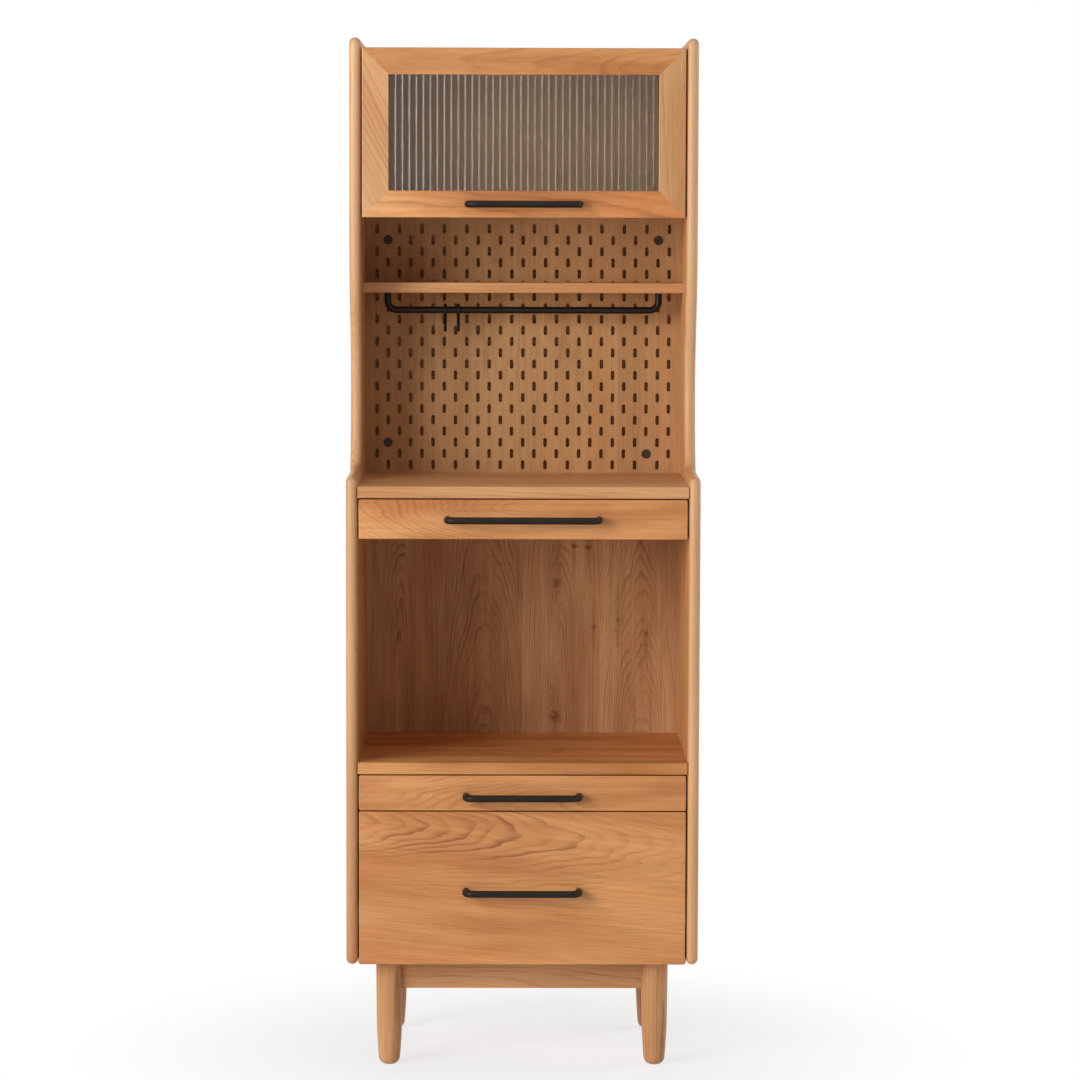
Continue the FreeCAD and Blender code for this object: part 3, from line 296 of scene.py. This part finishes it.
# Knots: a round eye and a tail along the grain, each with its scale along and across, its reach and strength
KNOT_FORMS = (((0.7, 1.0, 0.0), 1.1, 1.0), ((0.11, 1.3, 0.0), 1.2, 0.4))
KNOT_EDGE_SCALE, KNOT_EDGE_DETAIL = 130.0, 3.0
KNOT_EDGE_ROUGHNESS = 1.6

# Where the figure fades out, in reaches of its focus, and the share of its contrast that stays
FOCUS_FADE = (0.5, 1.25)
FOCUS_REST_SHARE = 0.3

# Painted highlight and shade on the front edges of the side panels: heights between which its tone changes,
# and how far it faces forward
PAINTED_HIGHLIGHT_FOOT, PAINTED_HIGHLIGHT_TOP = 0.2, 1.7
PAINTED_HIGHLIGHT_FACING = (-0.9, -0.2)
PAINTED_HIGHLIGHT_SHARE = 0.4

WOOD_BUMP, WOOD_BUMP_DEPTH = 0.25, 0.0002
COAT_ROUGHNESS = 0.35
GLOSS_PER_COAT = 5


def knot_mask(net, place, local, shift, knots):
    """How much of a knot each point is; knots are place along, place across and size."""
    rough = net.noise(place, KNOT_EDGE_SCALE, KNOT_EDGE_DETAIL)
    rough = net.math("MULTIPLY_ADD", rough, KNOT_EDGE_ROUGHNESS, -KNOT_EDGE_ROUGHNESS / 2)
    mask = 0.0
    for along, across, size in knots:
        off = net.vector("SUBTRACT", local, Vector((along, across, 0.0)) + shift)
        forms = []
        for scale, reach, strength in KNOT_FORMS:
            away = net.vector("LENGTH", net.vector("MULTIPLY", off, Vector(scale) / size))
            forms.append(net.span(net.math("ADD", away, rough), 0.0, reach, strength, 0.0))
        mask = net.math("MAXIMUM", mask, net.math("MAXIMUM", *forms))
    return mask


def focused(net, local, shift, contrast, focus):
    """Contrast that fades round the figure's focus: place along, place across and the reach both ways."""
    along, across, long_reach, cross_reach = focus
    off = net.vector("SUBTRACT", local, Vector((along, across, 0.0)) + shift)
    off = net.vector("MULTIPLY", off, Vector((1 / long_reach, 1 / cross_reach, 0.0)))
    return net.span(net.vector("LENGTH", off), *FOCUS_FADE, contrast, contrast * FOCUS_REST_SHARE)


def painted_edge_highlight(net, colour, height, foot_tone, top_tone):
    """Colour with a painted highlight and painted shade where the surface faces -Y, its tone changing from
    foot to top.
    """
    ahead = net.split(net.add("ShaderNodeTexCoord").outputs["Normal"])[1]
    tone = net.blend(net.span(height, PAINTED_HIGHLIGHT_FOOT, PAINTED_HIGHLIGHT_TOP, 0.0, 1.0, smooth=False), foot_tone, top_tone)
    painted_highlight = net.blend(PAINTED_HIGHLIGHT_SHARE, colour, tone)
    return net.blend(net.span(ahead, *PAINTED_HIGHLIGHT_FACING, 1.0, 0.0), colour, painted_highlight)


def wood(name, order, centre, tones=CHERRY, stave=NO_STAVES, spread=0.0, seed=1.0, depth=0.05, lean=0.05,
         pitch=0.006, contrast=0.55, tilt=0.0, knots=(), soft=0.0, streak=1.0, focus=None, level=1.0,
         gloss=0.35, front=None, drift=None):
    """Wood material, made of these:
    order, the axes along the grain, across the board and through it;
    centre, the point of the board, in that order, about which the figure lies;
    stave and spread, the width of glued staves and how far they differ; seed, which staves they are;
    depth and lean, how far the trunk's heart lies under the board and how it slopes; pitch, a ring's width;
    contrast and soft, of the rings; streak, the strength of the fibres; tilt, of the grain to the board;
    knots and focus, as knot_mask and focused take them; level, lighter or darker; gloss, of the sheen;
    front, the tones of the painted highlight and shade where the surface faces -Y, at the foot and at the
    top;
    drift, two places along the grain and the tints between which the tone changes there, as painted light and
    shade."""
    material, net, shader, place = new_material(name)
    parts = net.split(place)
    along, across, through = (parts["xyz".index(axis)] for axis in order)
    if tilt:
        across = net.math("MULTIPLY_ADD", net.math("SUBTRACT", along, centre[0]), tilt, across)
    shift = Vector((0.0, stave / 2 if stave == NO_STAVES else 0.0, 0.0)) - Vector(centre)
    local = net.vector("ADD", net.join(along, across, through), shift)
    if focus:
        contrast = focused(net, local, shift, contrast, focus)
    levelled = ([level * channel for channel in tone[:3]] + [1.0] for tone in tones)
    figure = net.add("ShaderNodeGroup", node_tree=WOOD)
    for socket, source in (
        ("Vector", local), ("Stave", stave), ("Spread", spread), ("Seed", seed), ("Depth", depth),
        ("Lean", lean), ("Pitch", pitch), ("Contrast", contrast), ("Soft", soft), ("Streak", streak),
        ("Knot", knot_mask(net, place, local, shift, knots) if knots else 0.0),
        *zip(("Light", "Middle", "Dark"), levelled),
    ):
        net.feed(figure.inputs[socket], source)
    colour = figure.outputs["Color"]
    # painted highlight and shade on the front edges
    if front:
        colour = painted_edge_highlight(net, colour, parts[2], *front)
    # painted light and shade that changes along the grain
    if drift:
        start, end, first, last = drift
        share = net.span(along, start, end, 0.0, 1.0, smooth=False)
        colour = net.tinted(colour, net.blend(share, first, last))
    net.feed(shader.inputs["Base Color"], colour)
    net.feed(shader.inputs["Roughness"], figure.outputs["Roughness"])
    net.feed(shader.inputs["Normal"], net.bump(figure.outputs["Height"], WOOD_BUMP, WOOD_BUMP_DEPTH))
    shader.inputs["Specular IOR Level"].default_value = gloss
    shader.inputs["Coat Weight"].default_value = gloss / GLOSS_PER_COAT
    shader.inputs["Coat Roughness"].default_value = COAT_ROUGHNESS
    return material


# Fine spots and wide clouds that make metal and plastic uneven
SPOT_DETAIL, SPOT_ROUGHNESS, SPOT_SHARE = 4.0, 0.6, 0.6
CLOUD_SCALE, CLOUD_DETAIL, CLOUD_SHARE = 18.0, 2.0, 0.4
MIXED_LOW, MIXED_HIGH = 0.3, 0.7
PLAIN_BUMP = 0.3


def plain(name, light, dark, metallic, roughness, grain, stretch=(1.0, 1.0, 1.0), depth=0.00008, gloss=0.5,
          tint=WHITE):
    """Metal or plastic with fine uneven colour, gloss and surface."""
    material, net, shader, place = new_material(name)
    spot = net.noise(net.vector("MULTIPLY", place, Vector(stretch)), grain, SPOT_DETAIL, SPOT_ROUGHNESS)
    cloud = net.noise(place, CLOUD_SCALE, CLOUD_DETAIL)
    mixed = net.math("MULTIPLY_ADD", spot, SPOT_SHARE, net.math("MULTIPLY", cloud, CLOUD_SHARE))
    colour = net.blend(net.span(mixed, MIXED_LOW, MIXED_HIGH, 0.0, 1.0), dark, light)
    net.feed(shader.inputs["Base Color"], colour)
    net.feed(shader.inputs["Roughness"], net.span(mixed, MIXED_LOW, MIXED_HIGH, *roughness))
    net.feed(shader.inputs["Normal"], net.bump(spot, PLAIN_BUMP, depth))
    shader.inputs["Metallic"].default_value = metallic
    shader.inputs["Specular IOR Level"].default_value = gloss
    shader.inputs["Specular Tint"].default_value = tint
    return material


# Cast glass: waves per metre, roughness that follows them, and their relief
GLASS_WAVES = (40.0, 40.0, 6.0)
GLASS_WAVE_DETAIL = 2.0
GLASS_ROUGHNESS = (0.3, 0.7, 0.05, 0.09)
GLASS_BUMP, GLASS_BUMP_DEPTH = 0.05, 0.0002
GLASS_IOR = 1.5
GLASS_MIRROR_TINT = (0.76, 0.71, 0.66, 1.0)


def glass(name):
    """Clear cast glass, faintly green, with a slightly uneven surface."""
    material, net, shader, place = new_material(name)
    wave = net.noise(net.vector("MULTIPLY", place, Vector(GLASS_WAVES)), 1.0, GLASS_WAVE_DETAIL)
    net.feed(shader.inputs["Base Color"], net.blend(wave, linear(234, 238, 232), linear(224, 230, 223)))
    net.feed(shader.inputs["Roughness"], net.span(wave, *GLASS_ROUGHNESS))
    net.feed(shader.inputs["Normal"], net.bump(wave, GLASS_BUMP, GLASS_BUMP_DEPTH))
    shader.inputs["Transmission Weight"].default_value = 1.0
    shader.inputs["IOR"].default_value = GLASS_IOR
    shader.inputs["Specular Tint"].default_value = GLASS_MIRROR_TINT
    return material


def dress(node, material):
    """Give a node of the frame its material."""
    target = nodes[node].data
    target.materials.clear()
    target.materials.append(material)


# Drawer fronts
dress("top_drawer_front", wood(
    "top_front_wood", "xzy", (-0.15, 0.966, -0.18), seed=3, depth=0.044, lean=-0.30, pitch=0.0040,
    contrast=0.5, soft=0.6, focus=(-0.17, 0.95, 0.2, 0.09),
))
dress("middle_drawer_front", wood(
    "middle_front_wood", "xzy", (-0.06, 0.462, -0.18), seed=5, depth=0.03, lean=-0.14, pitch=0.0045,
    contrast=0.45, soft=0.5, focus=(-0.05, 0.47, 0.2, 0.06),
))
dress("deep_drawer_front", wood(
    "deep_front_wood", "xzy", (0.0, 0.398, -0.18), tones=FRONT, seed=8, depth=0.085, lean=0.107, pitch=0.0046,
    contrast=0.9, soft=0.4, streak=1.3, tilt=0.1, focus=(-0.06, 0.4, 0.26, 0.08),
))

# Flap; its rails carry painted light and shade: paler on the left, where the light comes from, and darker to
# the right
RAIL_LEFT, RAIL_RIGHT = -0.2, 0.2
dress("door_top_rail", wood(
    "top_rail_wood", "xzy", (0.1, 1.70, -0.08), seed=11, depth=0.05, lean=-0.10, contrast=0.35, soft=0.4,
    level=0.98, drift=(RAIL_LEFT, RAIL_RIGHT, (1.14, 1.23, 1.35, 1.0), (0.98, 0.95, 0.91, 1.0)),
))
dress("door_bottom_rail", wood(
    "bottom_rail_wood", "xzy", (0.05, 1.44, -0.08), seed=12, pitch=0.007, contrast=0.45, soft=0.4,
    level=1.18, drift=(RAIL_LEFT, RAIL_RIGHT, (1.06, 1.17, 1.29, 1.0), (0.83, 0.71, 0.62, 1.0)),
))
# Left stile: paler tones and a higher level, partly a painted sheen from the light on the left
dress("door_left_stile", wood(
    "left_stile_wood", "zxy", (1.60, -0.33, -0.08), tones=STILE, seed=13, depth=0.03, lean=0.02, pitch=0.007,
    contrast=0.5, soft=0.3, tilt=0.5, level=1.1,
))
# Right stile: a lower level, painted shade away from the light
dress("door_right_stile", wood(
    "right_stile_wood", "zxy", (1.60, 0.20, -0.08), tones=EDGE, seed=14, depth=0.06, lean=0.03, contrast=0.35,
    level=0.9,
))
dress("glazing_beads", wood(
    "bead_wood", "xzy", (0.0, 1.55, -0.06), seed=111, depth=0.08, lean=0.02, contrast=0.35,
))

# Side panels, each with a painted highlight on its front edge whose tone changes from foot to top; the left
# one's foot is darker, in painted shade
PAINTED_HIGHLIGHT_TOP_TONE = linear(240, 200, 158)
dress("left_side_panel", wood(
    "left_side_wood", "zyx", (0.9, 0.02, -0.29), tones=EDGE, stave=0.11, spread=0.05, seed=21, depth=0.07,
    lean=0.035, level=0.93, front=(linear(170, 122, 84), PAINTED_HIGHLIGHT_TOP_TONE),
))
dress("right_side_panel", wood(
    "right_side_wood", "zyx", (0.9, 0.03, 0.29), tones=EDGE, stave=0.11, spread=0.05, seed=31, depth=0.07,
    lean=0.035, level=0.95, front=(linear(228, 180, 134), PAINTED_HIGHLIGHT_TOP_TONE),
))

# Horizontal panels
dress("worktop", wood(
    "worktop_wood", "xyz", (0.0, 0.0, 0.99), tones=EDGE, stave=0.10, spread=0.04, seed=41, depth=0.06,
    level=0.95,
))
dress("oven_bay_floor", wood(
    "bay_floor_wood", "xyz", (0.0, 0.01, 0.52), stave=0.10, spread=0.04, seed=47, depth=0.06, lean=0.04,
    gloss=0.2,
))
dress("spice_shelf", wood(
    "shelf_wood", "xyz", (0.0, 0.13, 1.33), tones=EDGE, seed=51, depth=0.07, lean=0.03, contrast=0.4,
))
dress("top_panel", wood(
    "top_panel_wood", "xyz", (0.0, 0.02, 1.73), tones=EDGE, stave=0.12, spread=0.05, seed=53, depth=0.06,
))
dress("display_floor", wood(
    "display_floor_wood", "xyz", (0.0, 0.03, 1.47), stave=0.12, spread=0.05, seed=57, depth=0.06,
))
dress("drawer_divider", wood(
    "divider_wood", "xyz", (0.0, 0.0, 0.917), tones=PALE, stave=0.12, spread=0.05, seed=61,
))
dress("bottom_panel", wood("bottom_panel_wood", "xyz", (0.0, 0.0, 0.19), stave=0.12, spread=0.05, seed=63))

# Backs; the lower one takes the darker BACK tones, partly painted shade
dress("lower_back_panel", wood(
    "lower_back_wood", "zxy", (0.62, 0.0, 0.20), tones=BACK, stave=0.14, spread=0.05, seed=71, depth=0.03,
    lean=0.13, pitch=0.0036, contrast=0.65, soft=0.45, streak=1.7, gloss=0.1,
    knots=(
        (0.801, 0.062, 0.010), (0.722, 0.128, 0.006), (0.734, 0.172, 0.007), (0.711, 0.222, 0.006),
        (0.560, 0.060, 0.013), (0.868, 0.093, 0.008), (0.865, 0.119, 0.008),
    ),
))
dress("upper_back_panel", wood(
    "upper_back_wood", "zxy", (1.36, 0.02, 0.20), tones=BOARD, stave=0.14, spread=0.05, seed=79, contrast=0.6,
    gloss=0.1,
))
dress("pegboard", wood(
    "pegboard_wood", "zxy", (1.23, 0.03, 0.185), tones=BOARD, stave=0.14, spread=0.05, seed=83, depth=0.09,
    lean=0.02, pitch=0.004, contrast=0.25, soft=0.7, streak=0.8, gloss=0.1,
))

# Leg frame; the front apron's lower level is painted shade from the cabinet above it
for label, name, order, centre, seed, level in (
    ("front_apron", "front_apron_wood", "xzy", (0.0, 0.10, -0.13), 91, 0.84),
    ("rear_apron", "rear_apron_wood", "xzy", (0.0, 0.12, 0.16), 92, 1.0),
    ("side_aprons", "side_apron_wood", "yzx", (0.0, 0.11, 0.0), 93, 1.0),
):
    dress(label, wood(
        name, order, centre, tones=EDGE, seed=seed, depth=0.06, lean=0.04, pitch=0.0055, level=level,
    ))
# Legs: a lower level, partly painted shade
for label, x, y, seed in (
    ("front_left_leg", -0.205, -0.128, 101), ("front_right_leg", 0.25, -0.128, 103),
    ("rear_left_leg", -0.25, 0.162, 105), ("rear_right_leg", 0.21, 0.162, 107),
):
    dress(label, wood(
        f"{label}_wood", "zxy", (0.09, x, y), tones=EDGE, seed=seed, depth=0.035, lean=0.08, contrast=0.6,
        level=0.9,
    ))

# Drawer boxes
WALL_HEART_DROP = 0.05
for label, wall_seed, bottom_seed in (
    ("top_drawer", 121, 123), ("middle_drawer", 125, 127), ("deep_drawer", 129, 131),
):
    height = sum(corner.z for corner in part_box(f"{label}_walls")) / 2
    dress(f"{label}_walls", wood(
        f"{label}_wall_wood", "yzx", (0.0, height - WALL_HEART_DROP, 0.0), tones=PALE, seed=wall_seed,
        depth=0.07, lean=0.03, contrast=0.4,
    ))
    dress(f"{label}_bottom", wood(
        f"{label}_bottom_wood", "xyz", (0.0, 0.0, height), tones=PALE, stave=0.18, spread=0.08,
        seed=bottom_seed, contrast=0.4,
    ))

# Metal, plastic and glass
BLACK = plain(
    "black_metal", linear(26, 20, 16), linear(17, 13, 10), metallic=0.0, roughness=(0.36, 0.5), grain=900.0,
    gloss=0.25, tint=(1.0, 0.84, 0.7, 1.0),
)
STEEL = plain(
    "zinc_steel", linear(178, 177, 175), linear(146, 145, 144), metallic=1.0, roughness=(0.3, 0.46),
    grain=300.0, stretch=(1.0, 0.08, 1.0), depth=0.00003,
)
CAP = plain(
    "cap_plastic", linear(62, 50, 32), linear(45, 36, 22), metallic=0.0, roughness=(0.45, 0.6), grain=700.0,
    gloss=0.25,
)
for label in (
    "hanging_rail", "left_hook", "right_hook", "door_handle", "top_drawer_handle", "middle_drawer_handle",
    "deep_drawer_handle",
):
    dress(label, BLACK)
for label in nodes:
    if "slide" in label or "hinge" in label or "handle_screws" in label or label.startswith("strut"):
        dress(label, STEEL)
dress("pegboard_fixings", CAP)
dress("fluted_glass", glass("reeded_glass"))


def mesh_object(name, made):
    """Object in the scene from a mesh under construction, which is closed."""
    mesh = bpy.data.meshes.new(name)
    made.to_mesh(mesh)
    made.free()
    item = bpy.data.objects.new(name, mesh)
    bpy.context.scene.collection.objects.link(item)
    return item


# Screw heads in metres, their outline in shares of radius and rise, and the cross recess in shares of both
SCREW_RADIUS, SCREW_RISE = 0.0032, 0.0011
HEAD_RING = 24
HEAD_SHARES = ((1.0, -0.1), (1.0, 0.25), (0.93, 0.55), (0.7, 0.85), (0.35, 1.0))
CROSS_ARM_SHARE, CROSS_WIDTH_SHARE = 0.62, 0.15
CROSS_FLOOR_SHARE, CROSS_TOP_SHARE = 0.35, 1.5
CROSS_TAPER_SHARE = 0.8
SCREW_SPIN = 0.7  # radians from one screw to the next
QUARTER_TURNS = ((1, 0), (0, 1), (-1, 0), (0, -1))


def close_sides(made, low, high):
    """Faces between two rings of as many corners."""
    for step in range(len(low)):
        after = (step + 1) % len(low)
        made.faces.new((low[step], low[after], high[after], high[step]))


def screw_head():
    """Mesh of a domed screw head with a cross recess, its seat at the origin and its top towards +Z."""
    made = bmesh.new()
    rows = []
    for share, up in HEAD_SHARES:
        turns = (2 * math.pi * step / HEAD_RING for step in range(HEAD_RING))
        radius = SCREW_RADIUS * share
        rows.append([
            made.verts.new((radius * math.cos(turn), radius * math.sin(turn), SCREW_RISE * up))
            for turn in turns
        ])
    for low, high in zip(rows, rows[1:]):
        close_sides(made, low, high)
    made.faces.new(rows[-1])
    made.faces.new(reversed(rows[0]))
    head = mesh_object("screw_head", made)

    made = bmesh.new()
    arm, width = SCREW_RADIUS * CROSS_ARM_SHARE, SCREW_RADIUS * CROSS_WIDTH_SHARE
    corners = [
        (x * cosine - y * sine, x * sine + y * cosine)
        for cosine, sine in QUARTER_TURNS for x, y in ((arm, -width), (arm, width), (width, width))
    ]
    low = [
        made.verts.new((x * CROSS_TAPER_SHARE, y * CROSS_TAPER_SHARE, SCREW_RISE * CROSS_FLOOR_SHARE))
        for x, y in corners
    ]
    high = [made.verts.new((x, y, SCREW_RISE * CROSS_TOP_SHARE)) for x, y in corners]
    made.faces.new(reversed(low))
    made.faces.new(high)
    close_sides(made, low, high)
    cross = mesh_object("screw_cross", made)

    cut = head.modifiers.new("cross", "BOOLEAN")
    cut.object = cross
    cut.operation = "DIFFERENCE"
    cut.solver = "EXACT"
    ready = head.evaluated_get(bpy.context.evaluated_depsgraph_get())
    result = bpy.data.meshes.new_from_object(ready)
    for item in (head, cross):
        bpy.data.objects.remove(item)
    return result


HEAD = screw_head()


def screws(name, body, seats):
    """One piece of several screw heads; each seat is a place and the way the head faces."""
    joined = bmesh.new()
    for number, (spot, facing) in enumerate(seats):
        turn = Vector(facing).to_track_quat("Z", "Y").to_matrix().to_4x4()
        spin = Matrix.Rotation(SCREW_SPIN * number, 4, "Z")
        copy = HEAD.copy()
        copy.transform(Matrix.Translation(spot) @ turn @ spin)
        joined.from_mesh(copy)
        bpy.data.meshes.remove(copy)
    piece = mesh_object(name, joined)
    piece.data.materials.append(STEEL)
    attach(piece, body)


# Seats of the screws on hinges and strut brackets, in metres
HINGE_SCREWS_X = (0.163, 0.180, 0.197)
LEAF_THICKNESS = 0.0015
DOOR_LEAF_RISE, CABINET_LEAF_RISE = 0.008, 0.0055
DOOR_BRACKET_X = 0.268
BRACKET_SHEET = 0.002
DOOR_BRACKET_MARGIN, SIDE_BRACKET_MARGIN = 0.004, 0.0045
leaf_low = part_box("hinge_door_leaves")[0]
plate_low, plate_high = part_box("hinge_cabinet_leaves")
door_bracket_low, door_bracket_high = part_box("strut_door_brackets")
side_bracket_low, side_bracket_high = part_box("strut_cabinet_brackets")
side_bracket_y = (side_bracket_low.y + side_bracket_high.y) / 2
door_seats = []
cabinet_seats = []
for side in (-1, 1):
    for x in HINGE_SCREWS_X:
        door_seats.append(((side * x, leaf_low.y + LEAF_THICKNESS, leaf_low.z + DOOR_LEAF_RISE), (0, 1, 0)))
        spot = (side * x, plate_high.y - LEAF_THICKNESS, plate_low.z + CABINET_LEAF_RISE)
        cabinet_seats.append((spot, (0, -1, 0)))
    for z in (door_bracket_low.z + DOOR_BRACKET_MARGIN, door_bracket_high.z - DOOR_BRACKET_MARGIN):
        door_seats.append(((side * DOOR_BRACKET_X, door_bracket_low.y + BRACKET_SHEET, z), (0, 1, 0)))
    for z in (side_bracket_low.z + SIDE_BRACKET_MARGIN, side_bracket_high.z - SIDE_BRACKET_MARGIN):
        spot = (side * (side_bracket_high.x - BRACKET_SHEET), side_bracket_y, z)
        cabinet_seats.append((spot, (-side, 0, 0)))
screws("door_hardware_screws", "door", door_seats)
screws("cabinet_hardware_screws", "cabinet", cabinet_seats)

# Surroundings: light of the world, and the floor's size in metres, tone and share of white near and far
WORLD_LIGHT = 0.16
FLOOR_REACH = 30.0
FLOOR_TONE = (0.86, 0.86, 0.86, 1.0)
FLOOR_ROUGHNESS = 0.9
FLOOR_WHITE = (0.25, 0.85, 0.72, 1.0)


def white_world():
    """World that shows white to the camera, to gloss and through glass, and lights softly."""
    world = bpy.data.worlds.new("studio")
    bpy.context.scene.world = world
    world.use_nodes = True
    net = Net(world.node_tree)
    shade = next(item for item in world.node_tree.nodes if item.type == "BACKGROUND")
    net.feed(shade.inputs["Strength"], net.span(net.seen(), 0.0, 1.0, WORLD_LIGHT, 1.0, smooth=False))
    shade.inputs["Color"].default_value = WHITE


def floor():
    """Plain pale floor that keeps the shadow and runs out into the white background."""
    made = bmesh.new()
    bmesh.ops.create_grid(made, x_segments=2, y_segments=2, size=FLOOR_REACH)
    ground = mesh_object("floor", made)
    material, net, shader, place = new_material("floor_white")
    shader.inputs["Base Color"].default_value = FLOOR_TONE
    shader.inputs["Roughness"].default_value = FLOOR_ROUGHNESS
    shader.inputs["Specular IOR Level"].default_value = 0.0
    far = net.span(net.vector("LENGTH", place), *FLOOR_WHITE)
    glow = net.add("ShaderNodeEmission")
    mixer = net.add("ShaderNodeMixShader")
    net.feed(mixer.inputs[0], net.math("MULTIPLY", net.seen(), far))
    net.feed(mixer.inputs[1], shader.outputs[0])
    net.feed(mixer.inputs[2], glow.outputs[0])
    output = next(item for item in material.node_tree.nodes if item.type == "OUTPUT_MATERIAL")
    net.feed(output.inputs["Surface"], mixer.outputs[0])
    ground.data.materials.append(material)


def lamp(name, spot, target, width, height, power, mirrored=True):
    """Soft light at a spot, turned to a target; one that isn't mirrored makes no highlights."""
    light = bpy.data.lights.new(name, "AREA")
    light.shape = "RECTANGLE"
    light.size = width
    light.size_y = height
    light.energy = power
    item = bpy.data.objects.new(name, light)
    item.location = spot
    item.visible_glossy = mirrored
    item.rotation_euler = (Vector(target) - Vector(spot)).to_track_quat("-Z", "Y").to_euler()
    bpy.context.scene.collection.objects.link(item)


white_world()
floor()
lamp("key_light", spot=(-3.6, -3.4, 2.0), target=(0, 0, 0.95), width=2.6, height=2.6, power=194)
lamp("fill_light", spot=(3.0, -3.8, 1.6), target=(0, 0, 0.9), width=3.0, height=3.0, power=11)
lamp("strip_light", spot=(-2.6, -4.7, 1.5), target=(0, 0, 1.3), width=0.35, height=2.2, power=14)
lamp("right_light", spot=(4.3, 0.9, 1.8), target=(0, 0, 0.9), width=2.6, height=2.6, power=75)
lamp("rear_light", spot=(-0.9, 4.6, 2.0), target=(0, 0, 0.9), width=2.8, height=2.8, power=95, mirrored=False)
lamp("top_light", spot=(0.3, -1.2, 4.2), target=(0, 0, 0.8), width=2.4, height=2.4, power=15)

# Camera, fitted to the photo: place in metres, turns in degrees, lens and sensor in millimetres
CAMERA_SPOT = (-0.0241, -6.3923, 1.4292)
CAMERA_DIP = 4.778
CAMERA_ROLL = -0.174
CAMERA_TURN = -0.469
LENS_LENGTH, SENSOR_WIDTH = 122.963, 36.0
lens = bpy.data.cameras.new("photo_camera")
lens.lens = LENS_LENGTH
lens.sensor_width = SENSOR_WIDTH
camera = bpy.data.objects.new("photo_camera", lens)
camera.location = CAMERA_SPOT
camera.rotation_euler = [math.radians(turn) for turn in (90 - CAMERA_DIP, CAMERA_ROLL, CAMERA_TURN)]
bpy.context.scene.collection.objects.link(camera)
bpy.context.scene.camera = camera
bpy.context.scene.view_settings.view_transform = "Standard"
